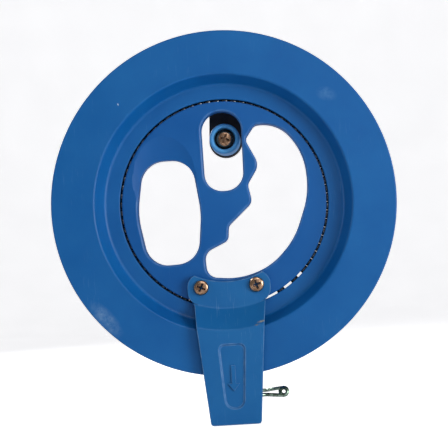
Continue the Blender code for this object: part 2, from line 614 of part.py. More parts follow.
def make_crank(finish, wheel):
    """Arm with a hinge knuckle at one end and, at the other, the post that the knob turns on."""
    half = CRANK_WIDTH / 2
    outline = [(half, HINGE_RADIUS), (-half, HINGE_RADIUS)]
    outline += arc((0, KNOB_ORBIT), half, math.pi, 2 * math.pi, 14)
    bm = bmesh.new()
    prism(bm, outline, CRANK_FRONT, CRANK_BACK)
    arm = add_object("crank_arm", bm, finish, wheel)
    hinge = along_x(0, HINGE_RADIUS, HINGE_DEPTH)
    post = Matrix.Translation((0, 0, KNOB_ORBIT))
    bm = bmesh.new()
    rod(bm, KNUCKLE_RADIUS, -half, half, hinge, 16)
    rod(bm, POST_RADIUS, POST_END, CRANK_BACK - WALL, post, 16)
    boolean(arm, cutter("crank_bosses", bm, wheel), "UNION")
    bm = bmesh.new()
    rod(bm, HINGE_PIN_RADIUS + MESH_GAP, -half - CUT_OVERRUN, half + CUT_OVERRUN, hinge)
    hole = KNOB_SCREW_RADIUS + SCREW_CLEARANCE
    rod(bm, hole, POST_END - CUT_OVERRUN, POST_END + KNOB_SCREW_DEPTH, post)
    boolean(arm, cutter("crank_holes", bm, wheel), "DIFFERENCE")
    return arm


def make_knob_fasteners(screw_finish, washer_finish, wheel):
    post = Matrix.Translation((0, 0, KNOB_ORBIT))
    back = POST_END - MESH_GAP
    inner, outer = KNOB_SCREW_RADIUS + SCREW_CLEARANCE, KNOB_RECESS_RADIUS - 0.4
    bm = bmesh.new()
    ring(bm, inner, outer, back - KNOB_WASHER, back, post, 16)
    add_object("knob_washer", bm, washer_finish, wheel)
    seat = back - KNOB_WASHER - MESH_GAP
    length = POST_END + KNOB_SCREW_DEPTH - CUT_OVERRUN - seat
    bm = bmesh.new()
    pan_screw(bm, KNOB_SCREW, length, Matrix.Translation((0, seat, KNOB_ORBIT)))
    add_object("knob_screw", bm, screw_finish, wheel)


def make_knob(finish, wheel):
    back = CRANK_FRONT - MESH_GAP
    bore = POST_RADIUS + MESH_GAP
    face = [(KNOB_RECESS_RADIUS, KNOB_FACE), (KNOB_RADIUS - KNOB_CHAMFER, KNOB_FACE)]
    side = [(KNOB_RADIUS, KNOB_FACE + KNOB_CHAMFER), (KNOB_RADIUS, back), (bore, back)]
    shoulder = [(bore, KNOB_SHOULDER), (KNOB_RECESS_RADIUS, KNOB_SHOULDER)]
    bm = bmesh.new()
    turned(bm, face + side + shoulder, 24, Matrix.Translation((0, 0, KNOB_ORBIT)))
    return add_object("knob_sleeve", bm, finish, wheel)


def make_front_screws(finish):
    seat = ARM_FACE_HIGH - MESH_GAP
    for name, side in (("guide_arm_screw_left", -1), ("guide_arm_screw_right", 1)):
        place = Matrix.Translation((side * ARM_SCREW_X, seat, -ARM_SCREW_DROP))
        bm = bmesh.new()
        pan_screw(bm, GUIDE_SCREW, GUIDE_SCREW_DEPTH - seat, place)
        add_object(name, bm, finish)
    seat = ARM_BACK_LOW + BRACKET_FOOT + 2 * MESH_GAP
    length = seat - ARM_BACK_LOW + BRACKET_SCREW_BITE
    for number, (x, z) in enumerate(bracket_screw_places(), 1):
        bm = bmesh.new()
        pan_screw(bm, SMALL_SCREW, length, flipped(x, seat, z))
        add_object(f"guide_bracket_screw_{number}", bm, finish)


def main():
    clear_scene()
    blue = material("blue_plastic", (0.025, 0.13, 0.34), 0.45)
    black = material("black_plastic", (0.02, 0.02, 0.022), 0.5)
    bronze = material("bronze_plated_steel", (0.32, 0.2, 0.11), 0.35, 1.0)
    steel = material("bright_steel", (0.75, 0.76, 0.76), 0.2, 1.0)
    sprung = material("plated_spring_wire", (0.55, 0.62, 0.56), 0.25, 1.0)

    frame = bpy.data.objects.new("frame_origin", None)
    frame.location.y = -DISC_THICKNESS * MM
    bpy.context.scene.collection.objects.link(frame)
    wheel = bpy.data.objects.new("wheel_axis", None)
    wheel.rotation_euler.y = CRANK_LEAN
    bpy.context.scene.collection.objects.link(wheel)

    make_grip_disc(blue)
    make_guide_arm(blue)
    make_front_screws(bronze)
    make_guide_bracket(blue)
    make_line_guide(sprung)
    make_front_rim(blue, wheel)
    make_rear_rim(blue, wheel)
    make_drum(blue, wheel)
    make_wheel_fasteners(bronze, wheel)
    make_hinge_hardware(steel, wheel)
    make_balls(steel)
    make_crank(black, wheel)
    make_knob_fasteners(bronze, steel, wheel)
    make_knob(blue, wheel)
    for obj in bpy.context.scene.objects:
        if obj.parent is None and obj is not frame:
            obj.parent = frame


main()
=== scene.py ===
import json
import math
import bpy
from mathutils import Matrix, Vector


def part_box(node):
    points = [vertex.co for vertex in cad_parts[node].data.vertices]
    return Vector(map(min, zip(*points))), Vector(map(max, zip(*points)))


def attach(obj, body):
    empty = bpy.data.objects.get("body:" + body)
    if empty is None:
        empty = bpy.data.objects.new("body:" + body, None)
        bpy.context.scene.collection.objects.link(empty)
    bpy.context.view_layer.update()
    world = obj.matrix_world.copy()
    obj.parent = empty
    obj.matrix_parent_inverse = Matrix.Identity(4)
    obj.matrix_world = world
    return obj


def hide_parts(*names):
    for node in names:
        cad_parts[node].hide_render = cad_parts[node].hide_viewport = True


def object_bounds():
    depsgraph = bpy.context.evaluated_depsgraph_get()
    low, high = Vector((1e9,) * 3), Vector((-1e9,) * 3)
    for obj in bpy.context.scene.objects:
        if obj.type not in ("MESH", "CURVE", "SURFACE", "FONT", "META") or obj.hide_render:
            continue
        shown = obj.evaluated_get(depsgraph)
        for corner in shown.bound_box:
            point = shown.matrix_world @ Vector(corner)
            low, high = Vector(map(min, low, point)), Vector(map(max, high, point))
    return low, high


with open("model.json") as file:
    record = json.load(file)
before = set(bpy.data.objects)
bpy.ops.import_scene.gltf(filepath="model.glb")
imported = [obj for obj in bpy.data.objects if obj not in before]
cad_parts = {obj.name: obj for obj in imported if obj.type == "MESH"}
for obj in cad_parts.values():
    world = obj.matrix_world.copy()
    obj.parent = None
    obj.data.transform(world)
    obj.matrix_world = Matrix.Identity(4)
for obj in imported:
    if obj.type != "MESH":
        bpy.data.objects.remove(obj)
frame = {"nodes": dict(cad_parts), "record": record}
cadLow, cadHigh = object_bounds()
print("frame loaded with", len(frame["nodes"]), "nodes")

# Sizes are in millimetres, and depths count from the front face of the grip disc towards the back.
mm = 0.001
mounts = {mount["name"]: Vector(mount["pos_m"]) / mm for mount in frame["record"]["mounts"]}
discLow, discHigh = [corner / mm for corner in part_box("grip_disc")]
discFront = discLow.y
discThickness = discHigh.y - discLow.y
discRadius = discHigh.x
rimRadius = 90.0
frontPlane = mounts["front_flange"].y - discFront
rearPlane = mounts["rear_flange"].y - discFront
racePlane = discThickness / 2
gap = 0.3  # clearance between pieces that touch on the real reel
weldDistance = 0.003
wheelLean = math.radians(3.3)  # how far the wheel is parked clockwise, seen from the front
gripPlace = Matrix.Translation((0, discFront * mm, 0))
wheelPlace = gripPlace @ Matrix.Rotation(wheelLean, 4, "Y")


def deselectAll():
    if bpy.context.object and bpy.context.object.mode != "OBJECT":
        bpy.ops.object.mode_set(mode="OBJECT")
    bpy.ops.object.select_all(action="DESELECT")


def activate(piece):
    deselectAll()
    piece.select_set(True)
    bpy.context.view_layer.objects.active = piece


def namePiece(name):
    piece = bpy.context.object
    piece.name = name
    piece.data.name = name
    return piece


def applyModifiers(piece):
    activate(piece)
    for step in list(piece.modifiers):
        bpy.ops.object.modifier_apply(modifier=step.name)


def cleanMesh(piece):
    activate(piece)
    bpy.ops.object.mode_set(mode="EDIT")
    bpy.ops.mesh.select_all(action="SELECT")
    bpy.ops.mesh.remove_doubles(threshold=weldDistance * mm)
    bpy.ops.mesh.normals_make_consistent(inside=False)
    bpy.ops.object.mode_set(mode="OBJECT")


def arcPoints(centre, radius, start, end, steps):
    angles = [start + (end - start) * i / steps for i in range(steps + 1)]
    return [(centre[0] + radius * math.cos(a), centre[1] + radius * math.sin(a)) for a in angles]


def roundedOutline(corners, chord=0.9):
    # each (a, b, radius) corner becomes an arc of short chords, and radius 0 keeps the corner
    outline = []
    for index, (a, b, radius) in enumerate(corners):
        if radius == 0:
            outline.append((a, b))
            continue
        corner = Vector((a, b))
        back = (Vector(corners[index - 1][:2]) - corner).normalized()
        ahead = (Vector(corners[(index + 1) % len(corners)][:2]) - corner).normalized()
        half = back.angle(ahead) / 2
        centre = corner + (back + ahead).normalized() * radius / math.sin(half)
        first = corner + back * radius / math.tan(half) - centre
        last = corner + ahead * radius / math.tan(half) - centre
        start = math.atan2(first.y, first.x)
        turn = (math.atan2(last.y, last.x) - start + math.pi) % (2 * math.pi) - math.pi
        steps = max(3, math.ceil(abs(turn) * radius / chord))
        outline += arcPoints(centre, radius, start, start + turn, steps)
    return outline


def closedLoop(profile):
    return profile + profile[:1]


def drawLine(name, points):
    # a plane merged to one vertex, then drawn out point by point and left selected in edit mode
    deselectAll()
    bpy.ops.mesh.primitive_plane_add(size=mm)
    piece = namePiece(name)
    bpy.ops.object.mode_set(mode="EDIT")
    bpy.ops.mesh.select_all(action="SELECT")
    bpy.ops.mesh.merge(type="CENTER")
    bpy.ops.transform.translate(value=[value * mm for value in points[0]])
    for here, there in zip(points, points[1:]):
        step = [(b - a) * mm for a, b in zip(here, there)]
        bpy.ops.mesh.extrude_region_move(TRANSFORM_OT_translate={"value": step})
    bpy.ops.mesh.select_all(action="SELECT")
    return piece


def turnProfile(name, profile, steps, place=None):
    # a profile of (radius, depth) points spun round Y
    piece = drawLine(name, [(radius, depth, 0) for radius, depth in profile])
    bpy.ops.mesh.spin(steps=steps, angle=2 * math.pi, center=(0, 0, 0), axis=(0, 1, 0))
    bpy.ops.object.mode_set(mode="OBJECT")
    cleanMesh(piece)
    if place:
        piece.data.transform(place)
    return piece


def drawPrism(name, outline, near, far, place=None, narrow=None):
    # a filled circle whose vertices take the outline's (x, z) places, pushed back along Y;
    # narrow = (x factor, z factor) draws the far end in towards its middle
    deselectAll()
    bpy.ops.mesh.primitive_circle_add(vertices=len(outline), radius=mm, fill_type="NGON")
    piece = namePiece(name)
    for vertex, (x, z) in zip(piece.data.vertices, outline):
        vertex.co = (x * mm, near * mm, z * mm)
    bpy.ops.object.mode_set(mode="EDIT")
    bpy.ops.mesh.select_all(action="SELECT")
    bpy.ops.mesh.extrude_region_move(TRANSFORM_OT_translate={"value": (0, (far - near) * mm, 0)})
    bpy.ops.object.mode_set(mode="OBJECT")
    if narrow:
        farEnd = [v for v in piece.data.vertices if abs(v.co.y - far * mm) < 0.001 * mm]
        middle = sum((v.co for v in farEnd), Vector()) / len(farEnd)
        for vertex in farEnd:
            vertex.co.x = middle.x + (vertex.co.x - middle.x) * narrow[0]
            vertex.co.z = middle.z + (vertex.co.z - middle.z) * narrow[1]
    if place:
        piece.data.transform(place)
    cleanMesh(piece)
    return piece


def combine(piece, tools, operation):
    for tool in tools:
        step = piece.modifiers.new(operation.lower(), "BOOLEAN")
        step.operation = operation
        step.solver = "EXACT"
        step.object = tool
        applyModifiers(piece)
        bpy.data.objects.remove(tool, do_unlink=True)
    return piece


def roundEdges(piece, width, segments, angle=40):
    cleanMesh(piece)
    activate(piece)
    bpy.ops.object.mode_set(mode="EDIT")
    bpy.ops.mesh.select_all(action="SELECT")
    bpy.ops.mesh.dissolve_limited(angle_limit=math.radians(0.05))
    bpy.ops.object.mode_set(mode="OBJECT")
    step = piece.modifiers.new("edge", "BEVEL")
    step.width = width * mm
    step.segments = segments
    step.limit_method = "ANGLE"
    step.angle_limit = math.radians(angle)
    step.use_clamp_overlap = False
    step.miter_outer = "MITER_ARC"
    # the bevel's own material number tells the rounded faces, which are painted pale as wear and
    # as painted highlight, from the flat ones
    piece.data.materials.clear()
    for name in ("flat", "rounded"):
        piece.data.materials.append(bpy.data.materials.get(name) or bpy.data.materials.new(name))
    step.material = 1
    applyModifiers(piece)
    wornAndSheenFace = piece.data.attributes.new("wornAndSheenFace", "FLOAT", "FACE")
    for face, mark in zip(piece.data.polygons, wornAndSheenFace.data):
        mark.value = float(face.material_index == 1)
        face.material_index = 0
    piece.data.materials.clear()
    return piece


def smooth(piece, angle):
    activate(piece)
    bpy.ops.object.shade_smooth_by_angle(angle=math.radians(angle))


def copyPiece(piece, name, place):
    made = piece.copy()
    made.data = piece.data.copy()
    made.name = made.data.name = name
    bpy.context.scene.collection.objects.link(made)
    made.data.transform(place)
    return made


def finishPiece(piece, body, nodes, finish, angle):
    piece.data.materials.clear()
    piece.data.materials.append(finish)
    smooth(piece, angle)
    # weighted normals keep broad faces flat beside rounded edges
    steady = piece.modifiers.new("steady", "WEIGHTED_NORMAL")
    steady.keep_sharp = True
    steady.weight = 100
    applyModifiers(piece)
    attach(piece, body)
    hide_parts(*nodes)
    return piece


def moved(x, depth, z, turn=0.0):
    place = Matrix.Translation((x * mm, depth * mm, z * mm))
    return place @ Matrix.Rotation(math.radians(turn), 4, "Y")


def alongX(x, z, depth):
    return moved(x, depth, z) @ Matrix.Rotation(math.radians(-90), 4, "Z")


def facingBack(x, depth, z, turn=0.0):
    return moved(x, depth, z) @ Matrix.Rotation(math.pi, 4, "Z") @ moved(0, 0, 0, turn)


# Materials

def linearColour(hexValue):
    channels = [int(hexValue[i:i + 2], 16) / 255 for i in (1, 3, 5)]
    linear = [c / 12.92 if c <= 0.04045 else ((c + 0.055) / 1.055) ** 2.4 for c in channels]
    return (*linear, 1.0)


def addNode(tree, kind, settings=None, links=None):
    # settings are properties, or inputs by name or number; stops are the two ends of a colour ramp
    node = tree.nodes.new(kind)
    for key, value in (settings or {}).items():
        if key == "stops":
            for element, (position, level) in zip(node.color_ramp.elements, value):
                element.position = position
                element.color = level if isinstance(level, tuple) else (level, level, level, 1.0)
        elif isinstance(key, str) and key in node.bl_rna.properties:
            setattr(node, key, value)
        else:
            node.inputs[key].default_value = value
    for key, socket in (links or {}).items():
        tree.links.new(socket, node.inputs[key])
    return node


def newMaterial(name):
    made = bpy.data.materials.new(name)
    made.use_nodes = True
    tree = made.node_tree
    tree.nodes.clear()
    shader = addNode(tree, "ShaderNodeBsdfPrincipled")
    addNode(tree, "ShaderNodeOutputMaterial", links={"Surface": shader.outputs["BSDF"]})
    return made, tree, shader


def perMetre(size):
    # a pattern that repeats every so many millimetres, as a scale on Object coordinates
    return 1 / (size * mm)


moulded = {
    "mottle": 26.0,  # clouding of the pigment
    "grain": 0.7,  # spark texture of the mould
    "patch": 38.0,  # handled areas, where the scuffs are
    "scuffLength": 8.0,
    "scuffWidth": 0.5,
    "scuffTurns": ((0.6, 1.0), (-1.1, 1.6)),  # direction in radians and length factor
    "speck": 3.2,
    "speckCut": 0.93,  # only cells above this value hold a speck
    "edgeBreak": 4.0,  # gaps in the pale edges, both rubbed wear and painted highlight
    "edgeWearAndSheen": (0.04, 0.24),
    "wear": 0.3,
    "roughness": (0.36, 0.5),
    "wornRoughness": 0.18,
    "specular": 0.28,
    "refraction": 1.53,
}


def scuffsAndSpecks(tree, vector, amount):
    # hair scuffs are noise drawn out in two directions, and specks are small dots in some cells
    hairs = []
    fine = perMetre(moulded["scuffWidth"])
    for turn, size in moulded["scuffTurns"]:
        long = perMetre(moulded["scuffLength"] * size)
        drawn = addNode(tree, "ShaderNodeMapping",
                        {"Rotation": (0, turn, 0), "Scale": (fine, long, long)}, {"Vector": vector})
        hair = addNode(tree, "ShaderNodeTexNoise", {"Scale": 1.0, "Detail": 2.0},
                       {"Vector": drawn.outputs["Vector"]})
        level = addNode(tree, "ShaderNodeValToRGB", {"stops": [(0.66, 0.0), (0.74, 1.0)]},
                        {"Fac": hair.outputs["Fac"]})
        hairs.append(level.outputs["Color"])
    crossed = addNode(tree, "ShaderNodeMath", {"operation": "MAXIMUM"}, {0: hairs[0], 1: hairs[1]})
    patches = addNode(tree, "ShaderNodeTexNoise",
                      {"Scale": perMetre(moulded["patch"]), "Detail": 3.0}, {"Vector": vector})
    patch = addNode(tree, "ShaderNodeValToRGB", {"stops": [(0.5, 0.0), (0.68, amount)]},
                    {"Fac": patches.outputs["Fac"]})
    scuff = addNode(tree, "ShaderNodeMath", {"operation": "MULTIPLY"},
                    {0: crossed.outputs["Value"], 1: patch.outputs["Color"]})
    cells = addNode(tree, "ShaderNodeTexVoronoi",
                    {"Scale": perMetre(moulded["speck"]), "Randomness": 1.0}, {"Vector": vector})
    dots = addNode(tree, "ShaderNodeValToRGB", {"stops": [(0.03, 1.0), (0.07, 0.0)]},
                   {"Fac": cells.outputs["Distance"]})
    chosen = addNode(tree, "ShaderNodeMath",
                     {"operation": "GREATER_THAN", 1: moulded["speckCut"]},
                     {0: cells.outputs["Color"]})
    specks = addNode(tree, "ShaderNodeMath", {"operation": "MULTIPLY"},
                     {0: dots.outputs["Color"], 1: chosen.outputs["Value"]})
    both = addNode(tree, "ShaderNodeMath", {"operation": "MAXIMUM"},
                   {0: scuff.outputs["Value"], 1: specks.outputs["Value"]})
    return both.outputs["Value"]


def addMark(tree, place, painted, mark):
    # an oval smear that fades outwards and is broken up by dusty noise
    x, z, length, width, turn, strength, colour = mark
    local = addNode(tree, "ShaderNodeMapping",
                    {"vector_type": "TEXTURE", "Location": (x * mm, 0, z * mm),
                     "Rotation": (0, math.radians(turn), 0),
                     "Scale": (length * mm, 1.0, width * mm)}, {"Vector": place})
    reach = addNode(tree, "ShaderNodeVectorMath", {"operation": "LENGTH"},
                    {0: local.outputs["Vector"]})
    fall = addNode(tree, "ShaderNodeValToRGB", {"stops": [(0.3, 1.0), (1.0, 0.0)]},
                   {"Fac": reach.outputs["Value"]})
    dust = addNode(tree, "ShaderNodeTexNoise",
                   {"Scale": perMetre(max(width, 1.2)), "Detail": 8.0, "Roughness": 0.75},
                   {"Vector": place})
    patchy = addNode(tree, "ShaderNodeValToRGB", {"stops": [(0.38, 0.0), (0.66, strength)]},
                     {"Fac": dust.outputs["Fac"]})
    share = addNode(tree, "ShaderNodeMath", {"operation": "MULTIPLY"},
                    {0: fall.outputs["Color"], 1: patchy.outputs["Color"]})
    mixed = addNode(tree, "ShaderNodeMix", {"data_type": "RGBA", 7: linearColour(colour)},
                    {0: share.outputs["Value"], 6: painted})
    return mixed.outputs[2]


def mouldedAbs(name, low, high, edge, scuffAmount, seed, marks=()):
    # Moulded ABS: a satin skin with slight clouding, hair scuffs, pale specks and paler edges,
    # partly rubbed wear and partly painted highlight.
    # low and high are the ends of the clouding, edge the pale tone of scuffs and edges; marks are
    # rubbed places as (x, z, length, width, turn in degrees, strength, colour)
    made, tree, shader = newMaterial(name)
    place = addNode(tree, "ShaderNodeTexCoord").outputs["Object"]
    shifted = addNode(tree, "ShaderNodeMapping", {"Location": (seed, seed * 0.7, -seed)},
                      {"Vector": place})
    vector = shifted.outputs["Vector"]
    clouds = addNode(tree, "ShaderNodeTexNoise",
                     {"Scale": perMetre(moulded["mottle"]), "Detail": 5.0, "Roughness": 0.6},
                     {"Vector": vector})
    body = addNode(tree, "ShaderNodeValToRGB",
                   {"stops": [(0.3, linearColour(low)), (0.7, linearColour(high))]},
                   {"Fac": clouds.outputs["Fac"]})
    wear = scuffsAndSpecks(tree, vector, scuffAmount)
    faded = addNode(tree, "ShaderNodeMath", {"operation": "MULTIPLY", 1: moulded["wear"]},
                    {0: wear})
    scuffed = addNode(tree, "ShaderNodeMix", {"data_type": "RGBA", 7: linearColour(edge)},
                      {0: faded.outputs["Value"], 6: body.outputs["Color"]})
    # Rounded faces are painted paler: partly rubbed wear, partly painted highlight for the light
    # that rounded edges catch.
    edges = addNode(tree, "ShaderNodeAttribute", {"attribute_name": "wornAndSheenFace"})
    broken = addNode(tree, "ShaderNodeTexNoise",
                     {"Scale": perMetre(moulded["edgeBreak"]), "Detail": 4.0}, {"Vector": vector})
    least, most = moulded["edgeWearAndSheen"]
    uneven = addNode(tree, "ShaderNodeValToRGB", {"stops": [(0.35, least), (0.65, most)]},
                     {"Fac": broken.outputs["Fac"]})
    rubAndSheen = addNode(tree, "ShaderNodeMath", {"operation": "MULTIPLY"},
                  {0: edges.outputs["Fac"], 1: uneven.outputs["Color"]})
    rubbedAndSheened = addNode(tree, "ShaderNodeMix", {"data_type": "RGBA", 7: linearColour(edge)},
                     {0: rubAndSheen.outputs["Value"], 6: scuffed.outputs[2]})
    painted = rubbedAndSheened.outputs[2]
    for mark in marks:
        painted = addMark(tree, place, painted, mark)
    tree.links.new(painted, shader.inputs["Base Color"])
    sleek, satin = moulded["roughness"]
    gloss = addNode(tree, "ShaderNodeValToRGB", {"stops": [(0.35, sleek), (0.7, satin)]},
                    {"Fac": clouds.outputs["Fac"]})
    dull = addNode(tree, "ShaderNodeMath",
                   {"operation": "MULTIPLY_ADD", 1: moulded["wornRoughness"]},
                   {0: wear, 2: gloss.outputs["Color"]})
    tree.links.new(dull.outputs["Value"], shader.inputs["Roughness"])
    grain = addNode(tree, "ShaderNodeTexNoise",
                    {"Scale": perMetre(moulded["grain"]), "Detail": 3.0}, {"Vector": vector})
    relief = addNode(tree, "ShaderNodeBump", {"Strength": 0.16, "Distance": 0.05 * mm},
                     {"Height": grain.outputs["Fac"]})
    scratch = addNode(tree, "ShaderNodeBump",
                      {"Strength": 0.25, "Distance": 0.03 * mm, "invert": True},
                      {"Height": wear, "Normal": relief.outputs["Normal"]})
    tree.links.new(scratch.outputs["Normal"], shader.inputs["Normal"])
    shader.inputs["IOR"].default_value = moulded["refraction"]
    shader.inputs["Specular IOR Level"].default_value = moulded["specular"]
    return made


def mouldedNylon(name, colour, scuffed):
    # Moulded nylon: near black and half matt, with a waxy grain and grey rub marks.
    made, tree, shader = newMaterial(name)
    place = addNode(tree, "ShaderNodeTexCoord").outputs["Object"]
    clouds = addNode(tree, "ShaderNodeTexNoise", {"Scale": perMetre(6), "Detail": 5.0},
                     {"Vector": place})
    body = addNode(tree, "ShaderNodeValToRGB",
                   {"stops": [(0.4, linearColour(colour)), (0.75, linearColour(scuffed))]},
                   {"Fac": clouds.outputs["Fac"]})
    tree.links.new(body.outputs["Color"], shader.inputs["Base Color"])
    gloss = addNode(tree, "ShaderNodeValToRGB", {"stops": [(0.3, 0.34), (0.7, 0.5)]},
                    {"Fac": clouds.outputs["Fac"]})
    tree.links.new(gloss.outputs["Color"], shader.inputs["Roughness"])
    grain = addNode(tree, "ShaderNodeTexNoise", {"Scale": perMetre(0.5), "Detail": 2.0},
                    {"Vector": place})
    relief = addNode(tree, "ShaderNodeBump", {"Strength": 0.2, "Distance": 0.05 * mm},
                     {"Height": grain.outputs["Fac"]})
    tree.links.new(relief.outputs["Normal"], shader.inputs["Normal"])
    shader.inputs["IOR"].default_value = 1.52
    return made


def platedMetal(name, light, dark, patch, roughness, brush=0.0):
    # Plated steel: a metal skin whose tone drifts in small patches, with fine pits that brush makes
    # deeper.
    made, tree, shader = newMaterial(name)
    place = addNode(tree, "ShaderNodeTexCoord").outputs["Object"]
    stains = addNode(tree, "ShaderNodeTexNoise",
                     {"Scale": perMetre(patch), "Detail": 6.0, "Roughness": 0.65},
                     {"Vector": place})
    tone = addNode(tree, "ShaderNodeValToRGB",
                   {"stops": [(0.38, linearColour(dark)), (0.62, linearColour(light))]},
                   {"Fac": stains.outputs["Fac"]})
    tree.links.new(tone.outputs["Color"], shader.inputs["Base Color"])
    bright, dull = roughness
    gloss = addNode(tree, "ShaderNodeValToRGB", {"stops": [(0.35, dull), (0.65, bright)]},
                    {"Fac": stains.outputs["Fac"]})
    tree.links.new(gloss.outputs["Color"], shader.inputs["Roughness"])
    pits = addNode(tree, "ShaderNodeTexNoise", {"Scale": perMetre(0.25), "Detail": 3.0},
                   {"Vector": place})
    relief = addNode(tree, "ShaderNodeBump", {"Strength": 0.12 + brush, "Distance": 0.02 * mm},
                     {"Height": pits.outputs["Fac"]})
    tree.links.new(relief.outputs["Normal"], shader.inputs["Normal"])
    shader.inputs["Metallic"].default_value = 1.0
    return made


rimMarks = [
    (-64.5, -57.0, 13.0, 5.0, 52.0, 0.5, "#86a6c4"),
    (-71.0, -66.0, 7.0, 2.2, 48.0, 0.45, "#7fa2c2"),
    (57.0, 53.0, 6.0, 4.0, 20.0, 0.4, "#6f9cc6"),
    (-51.5, 54.5, 0.9, 0.35, 70.0, 2.0, "#d6e2ee"),
]
armMarks = [
    (16.0, -62.6, 2.6, 0.6, -12.0, 2.2, "#9a9484"),
    (13.8, -64.2, 1.8, 0.5, -12.0, 1.6, "#7c7a70"),
]
rimBlue = mouldedAbs("mouldedAbsRimBlue", "#045699", "#085fa1", "#7ea3c6", 0.6, 0.0, rimMarks)
gripBlue = mouldedAbs("mouldedAbsGripBlue", "#035297", "#08599e", "#769cc4", 0.35, 0.21)
armBlue = mouldedAbs("mouldedAbsArmBlue", "#0e5d9b", "#1365a2", "#9ab8d4", 0.7, 0.47, armMarks)
# The knob's blues are painted far lighter than the other blues: painted light for a brightly lit
# knob face, because the knob sits back in the slot's shade.
knobPaintedLight = mouldedAbs("mouldedAbsKnobBluePaintedLight", "#4a9fdd", "#62b0e8", "#c4dcf0", 0.4, 0.83)
crankBlack = mouldedNylon("mouldedNylonBlack", "#161314", "#3a302c")
bronzeScrew = platedMetal("bronzePlatedSteel", "#cfa98c", "#8d6a50", 1.4, (0.22, 0.4), 0.08)
# The balls' dark grey tones are painted shade: the dark of the narrow gap they sit in, put on the
# steel itself.
ballPaintedShade = platedMetal("bearingSteelPaintedShade", "#6b6f76", "#3a3d44", 2.5, (0.08, 0.2))
pinSteel = platedMetal("brightTurnedSteel", "#c9cbcc", "#8f9396", 1.8, (0.2, 0.36), 0.1)
guideWire = platedMetal("platedSpringWire", "#a3bba6", "#41564a", 2.2, (0.14, 0.28), 0.1)
# The washer's near-black tone is painted shade: the dark of the shaded recess around the knob
# screw, put on the washer itself.
washerPaintedShade = platedMetal("washerSteelPaintedShade", "#262b33", "#14171c", 1.8, (0.3, 0.45), 0.1)
print("materials made")


# Wheel

wheel = {
    "steps": 192,
    "rimEdge": 2.2,
    "flangeRoot": 3.4,
    "recessDepth": 10.5,
    "mouthRadius": 67.2,
    "floorRadius": 63.0,
    "boreRadius": 54.95,
    "ballCircle": 54.4,
    "grooveRadius": 2.55,
    "wall": 2.8,
    "drumWall": 2.4,
    "rimRound": 0.7,
    "mouthRound": 1.5,
    "floorRound": 2.2,
    "screwCircle": 60.3,
    "bossRadius": 3.05,
    "screwCount": 6,
    "anchorAngle": 152,
}
wheel["slope"] = (wheel["mouthRadius"] - wheel["floorRadius"]) / wheel["recessDepth"]
wheel["neck"] = wheel["mouthRadius"] - wheel["slope"] * wheel["flangeRoot"] + wheel["wall"]
wheel["drumRadius"] = wheel["neck"] + gap + wheel["drumWall"]


def wheelProfile(side):
    # side is -1 for the front flange and 1 for the rear one; they meet in the middle of the race
    face = frontPlane if side < 0 else rearPlane
    inward = -side
    ledge = face + inward * wheel["recessDepth"]
    joint = racePlane + side * gap / 2
    back = ledge + inward * wheel["wall"]
    skirt = wheel["boreRadius"] + wheel["wall"] + 0.6
    centre = (wheel["ballCircle"], racePlane)
    reach = math.acos((wheel["boreRadius"] - wheel["ballCircle"]) / wheel["grooveRadius"])
    stop = math.asin(gap / 2 / wheel["grooveRadius"])
    race = arcPoints(centre, wheel["grooveRadius"], side * reach, side * stop, 8)
    root = face + inward * wheel["flangeRoot"]
    edge = face + inward * wheel["rimEdge"]
    coneFoot = wheel["floorRadius"] + wheel["wall"] - wheel["slope"] * wheel["wall"]
    corners = [(rimRadius, face, wheel["rimRound"])]
    corners += [(wheel["mouthRadius"], face, wheel["mouthRound"])]
    corners += [(wheel["floorRadius"], ledge, wheel["floorRound"])]
    corners += [(wheel["boreRadius"], ledge, 0.45)] + [(r, d, 0) for r, d in race]
    corners += [(skirt, joint, 0), (skirt, back, 0.6), (coneFoot, back, 1.2)]
    corners += [(wheel["neck"], root, 0.8), (wheel["drumRadius"] + 0.6, root, 0.3)]
    corners += [(rimRadius, edge, wheel["rimRound"])]
    return roundedOutline(corners, 0.35)


def screwPlaces():
    step = 2 * math.pi / wheel["screwCount"]
    first = math.pi / 2 + math.pi / 72 + step / 2
    last = first + step * (wheel["screwCount"] - 1)
    return arcPoints((0, 0), wheel["screwCircle"], first, last, wheel["screwCount"] - 1)


frontRim = turnProfile("frontRim", closedLoop(wheelProfile(-1)), wheel["steps"], wheelPlace)
finishPiece(frontRim, "wheel", ["front_rim"], rimBlue, 30)

hinge = {
    "radius": 58.0,
    "depth": rearPlane + 0.5,
    "lugRadius": 3.9,
    "lugInner": 10.2,
    "lugOuter": 13.2,
    "lugFlare": 0.8,
    "lugRound": 0.35,
    "lugHole": 1.8,
    "drillReach": 20,
    "pinRadius": 1.5,
    "headRadius": 2.7,
    "headHeight": 1.2,
    "clip": 0.8,
    "washer": 0.6,
}
rearLedge = rearPlane - wheel["recessDepth"]


def drillHole(radius):
    reach = hinge["drillReach"]
    side = [(0, -reach), (radius, -reach), (radius, reach), (0, reach)]
    return turnProfile("hole", side, 32, alongX(0, hinge["radius"], hinge["depth"]))


def makeLug(near, far):
    foot = rearLedge - wheel["wall"] / 2
    width = hinge["lugRadius"] + hinge["lugFlare"]
    end = arcPoints((hinge["radius"], hinge["depth"]), hinge["lugRadius"], math.pi, 0, 20)
    outline = [(hinge["radius"] - width, foot)] + end + [(hinge["radius"] + width, foot)]
    sideways = Matrix(((0, 1, 0, 0), (0, 0, 1, 0), (1, 0, 0, 0), (0, 0, 0, 1)))
    lug = drawPrism("lug", outline, near, far, sideways)
    combine(lug, [drillHole(hinge["lugHole"])], "DIFFERENCE")
    return roundEdges(lug, hinge["lugRound"], 2)


def makeBoss(x, z):
    near, far, radius = racePlane + 0.4, rearLedge - 1, wheel["bossRadius"]
    side = [(0, near), (radius, near), (radius, far), (0, far)]
    return turnProfile("boss", side, 24, moved(x, 0, z))


